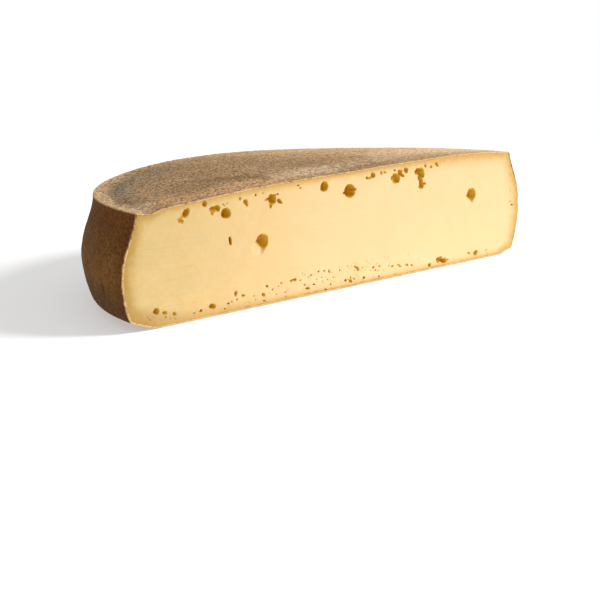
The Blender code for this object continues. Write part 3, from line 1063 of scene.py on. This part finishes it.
def cut_face(sizes, grid):
    """The cut face: vertices, triangles, the outline's vertex numbers and shading values."""
    loop = outline_loop(grid)
    points, tree = face_points(loop, EYES)
    flat = [Vector(p) for p in np.vstack([loop, points])]
    edges = [(i, (i + 1) % len(loop)) for i in range(len(loop))]
    made, _, faces, origins, _, _ = geometry.delaunay_2d_cdt(
        flat, edges, [], 1, MERGE_DISTANCE)
    ring = {source: number for number, sources in enumerate(origins) for source in sources}
    ring = [ring[i] for i in range(len(loop))]
    made = np.array([tuple(p) for p in made])
    x, height = made[:, 0], made[:, 1]
    gap = gaps_to(tree, made)
    depth, inside = face_depth(EYES, x, height)
    fade = np.clip(gap / FACE_FADE, 0, 1)
    along, up = FACE_WAVE_LENGTHS
    wave = noise_values(np.column_stack([x / along, height / up, height * 0]), 1.0, 2,
                        FACE_WAVE_SEED)
    wave = wave * FACE_WAVE * np.clip(gap / FACE_WAVE_FADE, 0, 1)
    y = grid[0, 0, 1] + fade * depth * MM + wave
    values = {
        "rind_shade": np.exp(-(gap / band_width(x, height, sizes)) ** BAND_SHARPNESS),
        "painted_eye_shade": inside * fade,
    }
    return np.column_stack([x * MM, y, height * MM]), [list(f) for f in faces], ring, values


def shared_grid(grid, ring, first):
    """The inner points of a grid, and vertex numbers whose edges are those of the outline."""
    rows, columns = grid.shape[:2]
    index = np.zeros((rows, columns), int)
    index[1:-1, 1:-1] = first + np.arange((rows - 2) * (columns - 2)).reshape(rows - 2, -1)
    index[:, 0] = ring[:rows]
    index[1:-1, -1] = ring[rows:][::-1]
    index[0] = ring[0]
    index[-1] = ring[rows - 1]
    return grid[1:-1, 1:-1].reshape(-1, 3), index


def mesh_object(name, vertices, faces, material, values):
    """A smooth mesh object with its material and named values for each vertex."""
    mesh = bpy.data.meshes.new(name)
    mesh.from_pydata([tuple(v) for v in vertices], [], [[int(i) for i in f] for f in faces])
    for key, numbers in values.items():
        attribute = mesh.attributes.new(key, "FLOAT", "POINT")
        attribute.data.foreach_set("value", np.asarray(numbers, np.float32))
    mesh.shade_smooth()
    mesh.materials.append(material)
    piece = bpy.data.objects.new(name, mesh)
    bpy.context.scene.collection.objects.link(piece)
    return piece


def make_paste(sizes, material):
    """The paste: its cut face with the eyes, closed by a plain body under the rind."""
    grid = inset_grid(sizes, sizes.rind_thickness - FACE_OVERLAP, FACE_RECESS)
    vertices, faces, ring, values = cut_face(sizes, grid)
    body, index = shared_grid(grid, ring, len(vertices))
    faces = faces + grid_faces(index, outward=True)
    values = {
        "rind_shade": np.concatenate([values["rind_shade"], np.ones(len(body))]),
        "painted_eye_shade": np.concatenate([values["painted_eye_shade"], np.zeros(len(body))]),
    }
    return mesh_object("paste", np.vstack([vertices, body]), faces, material, values)


def rind_relief(points, way, angle):
    """How far each point of the rind is sunk below its smooth form, in metres."""
    top = np.repeat((way < 0)[:, None], points.shape[1], axis=1).ravel()
    flat = points.reshape(-1, 3)
    sunk = np.full(len(flat), RELIEF_SUNK)
    for wavelength, flattening, octaves, seed, depth, added_on_top in RELIEF_LAYERS:
        bumps = noise_values(flat * (1, 1, flattening), wavelength, octaves, seed)
        sunk = sunk + (depth + added_on_top * top) * bumps
    sunk = sunk.reshape(points.shape[:2])
    for turn, height, wide, high, deep in SIDE_NICKS:
        across = (angle - math.radians(turn)) * NICK_RADIUS / wide
        up = (points[:, :, 2] / MM - height) / high
        sunk = sunk + deep * np.exp(-across ** 2 - up ** 2)
    under = share_between(way, UNDER_START, UNDER_END)[:, None]
    return np.clip(sunk * (1 - UNDER_SHARE * under), 0, None) * MM


def make_rind(sizes, material):
    """The rind: a closed skin with a rounded edge at the cut and fine relief outside."""
    outer, angle, way = wheel_grid(sizes, fine_shares(sizes), 0.0)
    from_cut = outer[:, :, 1] - CAD_LOW.y
    pulled = np.clip(EDGE_ROUNDING - from_cut, 0, None)
    rounding = EDGE_ROUNDING - np.sqrt(np.clip(EDGE_ROUNDING ** 2 - pulled ** 2, 0, None))
    outer = outer - grid_normals(outer) * (rind_relief(outer, way, angle) + rounding)[:, :, None]
    outer[:, [0, -1], 1] = CAD_LOW.y
    outer[[0, -1], :, 1] = CAD_LOW.y
    outer[:, :, 1] = np.maximum(outer[:, :, 1], CAD_LOW.y)
    outer[:, :, 2] = np.maximum(outer[:, :, 2], 0)
    inner = inset_grid(sizes, sizes.rind_thickness, 0.0)
    outer_points = grid_points(outer)
    outer_index = grid_indices(*outer.shape[:2], 0)
    inner_index = grid_indices(*inner.shape[:2], len(outer_points))
    faces = grid_faces(outer_index, outward=True) + grid_faces(inner_index, outward=False)
    for side, order in ((0, 1), (-1, -1)):
        for i in range(outer.shape[0] - 1):
            face = [outer_index[i, side], inner_index[i, side],
                    inner_index[i + 1, side], outer_index[i + 1, side]]
            faces.append(face[::order])
    inner_points = grid_points(inner)
    way_of = [grid_points(np.repeat(way[:, None], g.shape[1], axis=1)) for g in (outer, inner)]
    values = {
        "way": np.concatenate(way_of),
        "from_cut": np.concatenate([grid_points(from_cut), np.zeros(len(inner_points))]),
    }
    vertices = np.vstack([outer_points, inner_points])
    return mesh_object("rind", vertices, faces, material, values)


def add_node(tree, kind, inputs, settings=None, output=0):
    """Adds a shader node, fills or links its inputs, and returns one of its outputs."""
    node = tree.nodes.new("ShaderNode" + kind)
    row, column = divmod(len(tree.nodes), NODE_ROW)
    node.location = (NODE_STEP * column, -NODE_DROP * row)
    for name, value in (settings or {}).items():
        setattr(node, name, value)
    for key, value in inputs.items():
        if isinstance(value, bpy.types.NodeSocket):
            tree.links.new(value, node.inputs[key])
        else:
            node.inputs[key].default_value = value
    return node.outputs[output]


def calculate(tree, operation, *values):
    """A Math node's result."""
    return add_node(tree, "Math", dict(enumerate(values)), {"operation": operation})


def times(tree, first, second):
    """The product of two values."""
    return calculate(tree, "MULTIPLY", first, second)


def scaled(tree, value, factor, added):
    """A value times a factor, with another added."""
    return calculate(tree, "MULTIPLY_ADD", value, factor, added)


def smooth_step(tree, value, start, end):
    """A value that goes smoothly from 0 at start to 1 at end."""
    inputs = {"Value": value, "From Min": start, "From Max": end}
    return add_node(tree, "MapRange", inputs, {"interpolation_type": "SMOOTHSTEP"})


def tint(tree, colour, other, mask, share=1.0, blend="MIX"):
    """A colour blended with another where a mask says so, up to a share."""
    if share != 1.0:
        mask = times(tree, mask, share)
    inputs = {0: mask}
    for key, side in ((6, colour), (7, other)):
        inputs[key] = side if isinstance(side, bpy.types.NodeSocket) else (*side, 1.0)
    settings = {"data_type": "RGBA", "blend_type": blend}
    return add_node(tree, "Mix", inputs, settings, output=2)


def grey_of(tree, tone):
    """A grey colour of a given tone."""
    return add_node(tree, "CombineColor", {0: tone, 1: tone, 2: tone})


def new_group(name, inputs, output):
    """A shader node group with named inputs and one output, and its two end nodes' sockets."""
    group = bpy.data.node_groups.new(name, "ShaderNodeTree")
    for label, kind, value in inputs:
        socket = group.interface.new_socket(
            label, in_out="INPUT", socket_type="NodeSocket" + kind)
        socket.default_value = value
    group.interface.new_socket(output, in_out="OUTPUT", socket_type="NodeSocketFloat")
    given = group.nodes.new("NodeGroupInput").outputs
    return group, given, group.nodes.new("NodeGroupOutput").inputs


def mottle_group():
    """Soft blotches of a given size, from 0 to 1."""
    group, given, result = new_group(
        "Mottle",
        [("Vector", "Vector", (0, 0, 0)), ("Size", "Float", 10.0), ("Detail", "Float", 2.0)],
        "Value")
    noisy = add_node(group, "TexNoise", {
        "Vector": given["Vector"], "Detail": given["Detail"], "Roughness": MOTTLE_ROUGHNESS,
        "Scale": calculate(group, "DIVIDE", 1.0, given["Size"])})
    group.links.new(smooth_step(group, noisy, *MOTTLE_RANGE), result["Value"])
    return group


def streak_group():
    """Streaks whose length along each axis is given, turned by an angle, from 0 to 1."""
    group, given, result = new_group(
        "Streaks",
        [("Vector", "Vector", (0, 0, 0)), ("Turn", "Vector", (0, 0, 0)),
         ("Lengths", "Vector", (60, 60, 1)), ("Detail", "Float", 2.0)],
        "Value")
    stretched = add_node(group, "Mapping", {
        "Vector": given["Vector"], "Rotation": given["Turn"], "Scale": given["Lengths"],
    }, {"vector_type": "TEXTURE"})
    noisy = add_node(group, "TexNoise", {
        "Vector": stretched, "Scale": 1.0, "Detail": given["Detail"],
        "Roughness": STREAK_ROUGHNESS})
    group.links.new(smooth_step(group, noisy, *STREAK_RANGE), result["Value"])
    return group


def patch_group():
    """A soft patch round a centre, with a ragged edge: 1 inside and 0 outside."""
    group, given, result = new_group(
        "Soft patch",
        [("Vector", "Vector", (0, 0, 0)), ("Centre", "Vector", (0, 0, 0)),
         ("Turn", "Float", 0.0), ("Reach", "Vector", (10, 10, 10)),
         ("Ragged", "Float", 0.5), ("Grain", "Float", 6.0)],
        "Mask")
    turn = add_node(group, "CombineXYZ", {"Z": given["Turn"]})
    local = add_node(group, "Mapping", {
        "Vector": given["Vector"], "Location": given["Centre"], "Rotation": turn,
        "Scale": given["Reach"]}, {"vector_type": "TEXTURE"})
    away = add_node(group, "VectorMath", {0: local}, {"operation": "LENGTH"}, output=1)
    noisy = add_node(group, "TexNoise", {
        "Vector": given["Vector"], "Detail": 3.0, "Roughness": PATCH_ROUGHNESS,
        "Scale": calculate(group, "DIVIDE", 1.0, given["Grain"])})
    warp = times(group, calculate(group, "SUBTRACT", noisy, 0.5),
                 times(group, given["Ragged"], PATCH_RAGGED_REACH))
    edge = calculate(group, "ADD", away, warp)
    group.links.new(smooth_step(group, edge, *PATCH_RANGE), result["Mask"])
    return group


def grain_group():
    """Fine grain of a given size for bump and colour: a height from 0 to 1."""
    group, given, result = new_group(
        "Fine grain", [("Vector", "Vector", (0, 0, 0)), ("Size", "Float", 1.0)], "Height")
    scale = calculate(group, "DIVIDE", 1.0, given["Size"])
    noisy = add_node(group, "TexNoise", {
        "Vector": given["Vector"], "Scale": scale, "Detail": 3.0,
        "Roughness": GRAIN_ROUGHNESS})
    cells = add_node(group, "TexVoronoi", {"Vector": given["Vector"], "Scale": scale})
    mixed = scaled(group, noisy, 1 - GRAIN_OF_CELLS, times(group, cells, GRAIN_OF_CELLS))
    group.links.new(mixed, result["Height"])
    return group


def speck_group():
    """Scattered specks: spacing and size in the vector's units, 1 inside a speck."""
    group, given, result = new_group(
        "Specks",
        [("Vector", "Vector", (0, 0, 0)), ("Spacing", "Float", 4.0), ("Size", "Float", 0.3)],
        "Mask")
    cells = add_node(group, "TexVoronoi", {
        "Vector": given["Vector"], "Randomness": 1.0,
        "Scale": calculate(group, "DIVIDE", 1.0, given["Spacing"])})
    away = times(group, cells, given["Spacing"])
    edge = calculate(group, "DIVIDE", away, given["Size"])
    group.links.new(smooth_step(group, edge, *SPECK_RANGE), result["Mask"])
    return group


def place_group(tree, name, maker, inputs):
    """Places the node group of that name, made when it is first needed, in a tree."""
    group = bpy.data.node_groups.get(name) or maker()
    return add_node(tree, "Group", inputs, {"node_tree": group})


def mottle(tree, vector, size, detail=2.0):
    """Soft blotches of a size in mm."""
    return place_group(tree, "Mottle", mottle_group, {
        "Vector": vector, "Size": size, "Detail": detail})


def streaks(tree, vector, lengths, turn=(0, 0, 0), detail=2.0):
    """Streaks of given lengths in mm along each axis."""
    return place_group(tree, "Streaks", streak_group, {
        "Vector": vector, "Turn": turn, "Lengths": lengths, "Detail": detail})


def soft_patch(tree, vector, centre, reach, turn=0.0, ragged=0.5, grain=6.0):
    """A ragged patch round a centre in mm, turned by an angle in degrees."""
    return place_group(tree, "Soft patch", patch_group, {
        "Vector": vector, "Centre": centre, "Turn": math.radians(turn), "Reach": reach,
        "Ragged": ragged, "Grain": grain})


def fine_grain(tree, vector, size):
    """Fine grain of a size in mm."""
    return place_group(tree, "Fine grain", grain_group, {"Vector": vector, "Size": size})


def specks(tree, vector, spacing, size):
    """Specks of a size and spacing in mm."""
    return place_group(tree, "Specks", speck_group, {
        "Vector": vector, "Spacing": spacing, "Size": size})


def new_material(name):
    """A material with its tree, its Principled shader, and the place in mm and its axes."""
    material = bpy.data.materials.new(name)
    material.use_nodes = True
    tree = material.node_tree
    place = add_node(tree, "TexCoord", {}, output=3)
    place = add_node(tree, "VectorMath", {0: place, 3: 1 / MM}, {"operation": "SCALE"})
    axes = add_node(tree, "SeparateXYZ", {0: place}).node.outputs
    return material, tree, tree.nodes["Principled BSDF"], place, axes


def attribute(tree, name):
    """A named value of the mesh."""
    return add_node(tree, "Attribute", {}, {"attribute_name": name}, output=2)


def set_surface(tree, shader, colour, roughness, relief, strength, depth):
    """Links a colour, a roughness and the bump of a relief to the shader."""
    bump = add_node(tree, "Bump", {"Height": relief, "Strength": strength, "Distance": depth})
    tree.links.new(colour, shader.inputs["Base Color"])
    tree.links.new(roughness, shader.inputs["Roughness"])
    tree.links.new(bump, shader.inputs["Normal"])


def paste_holes(tree, place, x, height):
    """Specks of painted shade that stand for pinholes, in the crowd above the underside."""
    above = calculate(tree, "ABSOLUTE", calculate(tree, "SUBTRACT", height, SPECK_MIDDLE))
    crowd = smooth_step(tree, above, *SPECK_HEIGHTS)
    middle = smooth_step(tree, calculate(tree, "ABSOLUTE", x), *SPECK_SPAN)
    holes = specks(tree, place, SPECK_SPACING, SPECK_SIZE)
    return times(tree, holes, times(tree, crowd, middle))


def paste_material(colours):
    """Smooth cut paste: golden, paler to the right, darker under the rind, ochre painted shade in
    eyes.
    """
    material, tree, shader, place, (x, _, height) = new_material("paste")
    # Darker to the left, partly painted shade where the light falls off
    to_right = smooth_step(tree, x, *PASTE_TO_RIGHT)
    from_left = smooth_step(tree, x, *PASTE_LEFT_END)
    colour = tint(tree, colours.paste_left, colours.paste_right, to_right)
    colour = tint(tree, colour, colours.paste_shade, mottle(tree, place, BROAD_SIZE), BROAD_SHARE)
    blotches = mottle(tree, place, BLOTCH_SIZE, 3.0)
    colour = tint(tree, colour, colours.paste_light, blotches, BLOTCH_SHARE)
    knife = streaks(tree, place, KNIFE_LENGTHS, KNIFE_TURN)
    knife_share = scaled(tree, to_right, *KNIFE_SHARE)
    colour = tint(tree, colour, colours.paste_shade, knife, knife_share)
    crumb_share = scaled(tree, to_right, *CRUMB_SHARE)
    colour = tint(tree, colour, colours.paste_light, mottle(tree, place, CRUMB_SIZE), crumb_share)
    low = smooth_step(tree, scaled(tree, from_left, LOW_RISE, height), *LOW_RANGE)
    low_share = scaled(tree, to_right, *LOW_SHARE)
    colour = tint(tree, colour, colours.paste_foot, low, low_share)
    ragged = scaled(tree, mottle(tree, place, RAGGED_SIZE, 3.0), *RAGGED_BAND)
    band = smooth_step(tree, times(tree, attribute(tree, "rind_shade"), ragged), *BAND_RANGE)
    under = tint(tree, colours.under_rind_left, colours.under_rind, from_left)
    colour = tint(tree, colour, under, band)
    holes = paste_holes(tree, place, x, height)
    # The eyes and the pinhole specks take painted shade: golden at an eye's wall, ochre deeper in,
    # darkest in the slit
    uneven = scaled(tree, mottle(tree, place, UNEVEN_SIZE), *UNEVEN_EYE)
    eye = calculate(tree, "MAXIMUM", times(tree, attribute(tree, "painted_eye_shade"), uneven), holes)
    colour = tint(tree, colour, colours.eye_wall_shade, smooth_step(tree, eye, *EYE_WALL_RANGE))
    colour = tint(tree, colour, colours.eye_bottom_shade, smooth_step(tree, eye, *EYE_BOTTOM_RANGE))
    colour = tint(tree, colour, colours.eye_deep_shade, smooth_step(tree, eye, *EYE_DARK_RANGE))
    relief = scaled(tree, knife, KNIFE_RELIEF, fine_grain(tree, place, PASTE_GRAIN_SIZE))
    relief = scaled(tree, holes, -HOLE_RELIEF, relief)
    roughness = scaled(tree, blotches, *PASTE_ROUGHNESS)
    set_surface(tree, shader, colour, roughness, relief, PASTE_BUMP, PASTE_BUMP_DEPTH)
    shader.inputs["Subsurface Weight"].default_value = 0.15
    shader.inputs["Subsurface Radius"].default_value = (1.0, 0.55, 0.2)
    shader.inputs["Subsurface Scale"].default_value = 1.5 * MM
    shader.inputs["Specular IOR Level"].default_value = 0.35
    return material


def side_place(sizes, turn, height):
    """Place in mm on the wheel's side at an angle about its axis and a height."""
    radius = float(side_radius(sizes, height * MM))
    angle = math.radians(turn)
    y = radius * math.sin(angle) - sizes.cut_offset + CAD_LOW.y
    return (radius * math.cos(angle) / MM, y / MM, height)


def rind_top_colour(tree, place, x, y, way, blotches, colours):
    """Colour of the top: sandy brown with its marks, tan to the right, and a pale lip that is in
    part a painted highlight.
    """
    broad = mottle(tree, place, TOP_BROAD_SIZE, 3.0)
    top = tint(tree, colours.rind_top, colours.rind_top_pale, broad)
    top = tint(tree, top, colours.rind_top, blotches, TOP_DARK_SHARE)
    far = smooth_step(tree, scaled(tree, y, TAN_LEAN, x), *TAN_RANGE)
    top = tint(tree, top, colours.rind_tan, far, TAN_SHARE)
    reddish = mottle(tree, place, RED_SIZE, 3.0)
    top = tint(tree, top, colours.rind_red, reddish, RED_SHARE)
    greenish = smooth_step(tree, mottle(tree, place, GREEN_SIZE, 3.0), *GREEN_RANGE)
    top = tint(tree, top, colours.rind_green, greenish, GREEN_SHARE)
    for name, centre_x, centre_y, long, wide, turn, share, ragged in TOP_MARKS:
        mask = soft_patch(tree, place, (centre_x, centre_y, MARK_HEIGHT),
                          (long, wide, MARK_REACH_UP), turn, ragged)
        top = tint(tree, top, getattr(colours, name), mask, share)
    # The pale lip, in part a painted highlight
    lip = smooth_step(tree, scaled(tree, blotches, LIP_RAGGED, way), *LIP_RANGE)
    lip_share = scaled(tree, smooth_step(tree, x, *LIP_TO_LEFT), *LIP_SHARE)
    return tint(tree, top, colours.rind_lip, lip, lip_share)


def rind_side_colour(tree, sizes, place, height, from_cut, blotches, colours):
    """Colour of the side: even brown, darker above and beside the cut, with painted shade towards
    the bottom and its nicks.
    """
    dark = colours.rind_side_dark
    upright = streaks(tree, place, UPRIGHT_LENGTHS, detail=3.0)
    side = tint(tree, colours.rind_side, dark, scaled(tree, upright, *UPRIGHT_SHARE))
    side = tint(tree, side, dark, scaled(tree, blotches, *SIDE_BLOTCH_SHARE))
    side = tint(tree, side, dark, smooth_step(tree, from_cut, *CUT_DARK_RANGE), CUT_DARK_SHARE)
    near_cut = smooth_step(tree, from_cut, *CUT_TINT_RANGE)
    upper = smooth_step(tree, height, *UPPER_RANGE)
    # Painted shade towards the bottom of the side
    lower = smooth_step(tree, height, *SHADE_BELOW_HEIGHTS)
    side = tint(tree, side, SIDE_TINT_CUT, near_cut, blend="MULTIPLY")
    side = tint(tree, side, dark, upper, UPPER_DARK_SHARE)
    side = tint(tree, side, SIDE_TINT_ABOVE, upper, blend="MULTIPLY")
    side = tint(tree, side, SIDE_SHADE_BELOW, lower, blend="MULTIPLY")
    # Nicks and spots painted dark, partly as shade in their dents
    for turn, high_up, wide, high, _ in SIDE_NICKS:
        reach = (NICK_REACH_IN, NICK_WIDER * wide, NICK_HIGHER * high)
        mask = soft_patch(tree, place, side_place(sizes, turn, high_up), reach, turn,
                          NICK_RAGGED, NICK_GRAIN)
        side = tint(tree, side, colours.rind_nick, mask, NICK_SHARE)
    return side


def rind_tone(tree, x, on_side, suede, pebble):
    """Light and dark of the suede-like grain, weaker on the side and to the right."""
    grain = scaled(tree, smooth_step(tree, pebble, *PEBBLE_RANGE), PEBBLE_SHARE,
                   smooth_step(tree, suede, *SUEDE_RANGE))
    strength = scaled(tree, smooth_step(tree, x, *TONE_TO_RIGHT), *TONE_STRENGTH)
    strength = times(tree, strength, scaled(tree, on_side, *TONE_ON_SIDE))
    difference = calculate(tree, "SUBTRACT", grain, TONE_MIDDLE)
    return grey_of(tree, scaled(tree, difference, strength, 1.0))


def cut_edge(tree, worn, on_side, height, from_cut):
    """Where the rind's cut edge shows pale: most low on the side, and at the foot."""
    upper = times(tree, on_side, smooth_step(tree, height, *EDGE_UPPER_RANGE))
    lower = calculate(tree, "SUBTRACT", on_side, upper)
    reach = scaled(tree, lower, EDGE_LOWER_WIDER, scaled(tree, worn, *EDGE_REACH))
    edge = smooth_step(tree, calculate(tree, "DIVIDE", from_cut, reach), *EDGE_RANGE)
    share = scaled(tree, lower, EDGE_LOWER_STRONGER, scaled(tree, worn, *EDGE_SHARE))
    share = scaled(tree, upper, -EDGE_UPPER_WEAKER, share)
    edge = times(tree, edge, calculate(tree, "MINIMUM", share, 1.0))
    foot = times(tree, smooth_step(tree, from_cut, *FOOT_EDGE_RANGE),
                 smooth_step(tree, height, *FOOT_EDGE_HEIGHTS))
    return calculate(tree, "MAXIMUM", edge, times(tree, foot, FOOT_EDGE_SHARE))


def rind_material(sizes, colours):
    """Dry washed rind: sandy suede on top, brown side, pale rim and cut edge."""
    material, tree, shader, place, (x, y, height) = new_material("rind")
    way = calculate(tree, "DIVIDE", attribute(tree, "way"), MM)
    from_cut = calculate(tree, "DIVIDE", attribute(tree, "from_cut"), MM)
    blotches = mottle(tree, place, RIND_BLOTCH_SIZE, 4.0)
    top = rind_top_colour(tree, place, x, y, way, blotches, colours)
    side = rind_side_colour(tree, sizes, place, height, from_cut, blotches, colours)
    on_side = smooth_step(tree, way, *ON_SIDE_RANGE)
    colour = tint(tree, top, side, on_side)
    suede = fine_grain(tree, place, SUEDE_SIZE)
    pebble = fine_grain(tree, place, PEBBLE_SIZE)
    tone = rind_tone(tree, x, on_side, suede, pebble)
    colour = tint(tree, colour, tone, 1.0, blend="MULTIPLY")
    worn = smooth_step(tree, mottle(tree, place, WORN_SIZE), *WORN_RANGE)
    rim = times(tree, smooth_step(tree, way, *RIM_EDGE_ABOVE),
                smooth_step(tree, way, *RIM_EDGE_BELOW))
    colour = tint(tree, colour, colours.rind_edge, rim, scaled(tree, worn, *RIM_EDGE_SHARE))
    edge = cut_edge(tree, worn, on_side, height, from_cut)
    colour = tint(tree, colour, colours.rind_edge, edge)
    relief = scaled(tree, pebble, PEBBLE_RELIEF, suede)
    roughness = scaled(tree, blotches, *RIND_ROUGHNESS)
    set_surface(tree, shader, colour, roughness, relief, RIND_BUMP, RIND_BUMP_DEPTH)
    shader.inputs["Specular IOR Level"].default_value = 0.15
    return material


class CHEESE_OT_paste(bpy.types.Operator):
    """Make the paste with its cut face and eyes"""

    bl_idname = "cheese.make_paste"
    bl_label = "Make the paste"

    def execute(self, context):
        scene = context.scene
        paste = make_paste(scene.wheel_sizes, paste_material(scene.cheese_colours))
        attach(paste, "root")
        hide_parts("half_wheel")
        return {"FINISHED"}


class CHEESE_OT_rind(bpy.types.Operator):
    """Make the rind round the top, side and underside"""

    bl_idname = "cheese.make_rind"
    bl_label = "Make the rind"

    def execute(self, context):
        scene = context.scene
        rind = make_rind(scene.wheel_sizes, rind_material(scene.wheel_sizes, scene.cheese_colours))
        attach(rind, "root")
        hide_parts("half_wheel")
        return {"FINISHED"}


def floor_material(studio):
    """A pale floor that fades out to nothing far from the cheese."""
    material = bpy.data.materials.new("floor")
    material.use_nodes = True
    tree = material.node_tree
    shader = tree.nodes["Principled BSDF"]
    place = add_node(tree, "TexCoord", {}, output=3)
    away = add_node(tree, "VectorMath", {0: place}, {"operation": "LENGTH"}, output=1)
    shown = smooth_step(tree, away, FLOOR_FADE_END, FLOOR_FADE_START)
    soft = add_node(tree, "TexNoise", {"Vector": place, "Scale": FLOOR_MOTTLE_SCALE})
    grey = grey_of(tree, scaled(tree, soft, *FLOOR_MOTTLE))
    colour = tint(tree, studio.floor_colour, grey, 1.0, blend="MULTIPLY")
    tree.links.new(colour, shader.inputs["Base Color"])
    tree.links.new(shown, shader.inputs["Alpha"])
    shader.inputs["Roughness"].default_value = 0.8
    shader.inputs["Emission Color"].default_value = (1, 1, 1, 1)
    shader.inputs["Emission Strength"].default_value = FLOOR_GLOW
    shader.inputs["Specular IOR Level"].default_value = 0.2
    return material


def make_floor(studio):
    """A round floor under the cheese."""
    angles = np.linspace(0, 2 * math.pi, FLOOR_SIDES, endpoint=False)
    rim = [(FLOOR_RADIUS * math.cos(a), FLOOR_RADIUS * math.sin(a), 0.0) for a in angles]
    mesh = bpy.data.meshes.new("floor")
    mesh.from_pydata(rim, [], [list(range(FLOOR_SIDES))])
    mesh.materials.append(floor_material(studio))
    floor = bpy.data.objects.new("floor", mesh)
    floor.location.z = -FLOOR_GAP
    bpy.context.scene.collection.objects.link(floor)


def make_world(studio):
    """White to the camera, and a softer even light on the cheese."""
    world = bpy.data.worlds.new("studio")
    bpy.context.scene.world = world
    world.use_nodes = True
    tree = world.node_tree
    back = tree.nodes["Background"]
    seen = add_node(tree, "LightPath", {}, output=0)
    strength = scaled(tree, seen, 1.0 - studio.ambient, studio.ambient)
    tree.links.new(strength, back.inputs["Strength"])
    back.inputs["Color"].default_value = (1, 1, 1, 1)


def make_light(name, place, size, power, colour):
    """An area light that points at the cheese."""
    lamp = bpy.data.lights.new(name, "AREA")
    lamp.shape = "DISK"
    lamp.size = size
    lamp.energy = power
    lamp.color = colour
    light = bpy.data.objects.new(name, lamp)
    light.location = place
    light.rotation_euler = (LIGHT_TARGET - Vector(place)).to_track_quat("-Z", "Y").to_euler()
    bpy.context.scene.collection.objects.link(light)


def make_camera(studio):
    """The camera where the photograph was taken from."""
    camera = bpy.data.cameras.new("camera")
    camera.lens = studio.camera_lens
    holder = bpy.data.objects.new("camera", camera)
    holder.matrix_world = (
        Matrix.Translation(studio.camera_place)
        @ Matrix.Rotation(-studio.camera_heading, 4, "Z")
        @ Matrix.Rotation(math.radians(90) - studio.camera_dip, 4, "X")
        @ Matrix.Rotation(studio.camera_roll, 4, "Z"))
    bpy.context.scene.collection.objects.link(holder)
    bpy.context.scene.camera = holder


class CHEESE_OT_studio(bpy.types.Operator):
    """Make the floor, the light and the camera"""

    bl_idname = "cheese.make_studio"
    bl_label = "Make the studio"

    def execute(self, context):
        studio = context.scene.cheese_studio
        make_floor(studio)
        make_world(studio)
        make_light("key", KEY_PLACE, KEY_SIZE, studio.key_power, KEY_COLOUR)
        make_camera(studio)
        context.scene.view_settings.view_transform = "Standard"
        return {"FINISHED"}


class CHEESE_PT_panel(bpy.types.Panel):
    """Buttons and values for the half wheel"""

    bl_idname = "CHEESE_PT_panel"
    bl_label = "Raclette half wheel"
    bl_space_type = "VIEW_3D"
    bl_region_type = "UI"
    bl_category = "Cheese"

    def draw(self, context):
        for operator in OPERATORS:
            self.layout.operator(operator.bl_idname)
        for name in SETTINGS:
            values = getattr(context.scene, name)
            box = self.layout.box()
            for key in values.__annotations__:
                box.prop(values, key)


OPERATORS = (CHEESE_OT_studio, CHEESE_OT_paste, CHEESE_OT_rind)
SETTINGS = {
    "wheel_sizes": WheelSizes,
    "cheese_colours": CheeseColours,
    "cheese_studio": StudioSetup,
}
CLASSES = (*SETTINGS.values(), *OPERATORS, CHEESE_PT_panel)


def register():
    """Registers the classes, and hangs their values on the scene."""
    for item in CLASSES:
        bpy.utils.register_class(item)
    for name, group in SETTINGS.items():
        setattr(bpy.types.Scene, name, bpy.props.PointerProperty(type=group))


def unregister():
    """Takes the values and the classes away again."""
    for name in SETTINGS:
        delattr(bpy.types.Scene, name)
    for item in reversed(CLASSES):
        bpy.utils.unregister_class(item)


def main():
    """Makes the studio and the half wheel."""
    register()
    bpy.ops.cheese.make_studio()
    bpy.ops.cheese.make_paste()
    bpy.ops.cheese.make_rind()


if __name__ == "__main__":
    main()
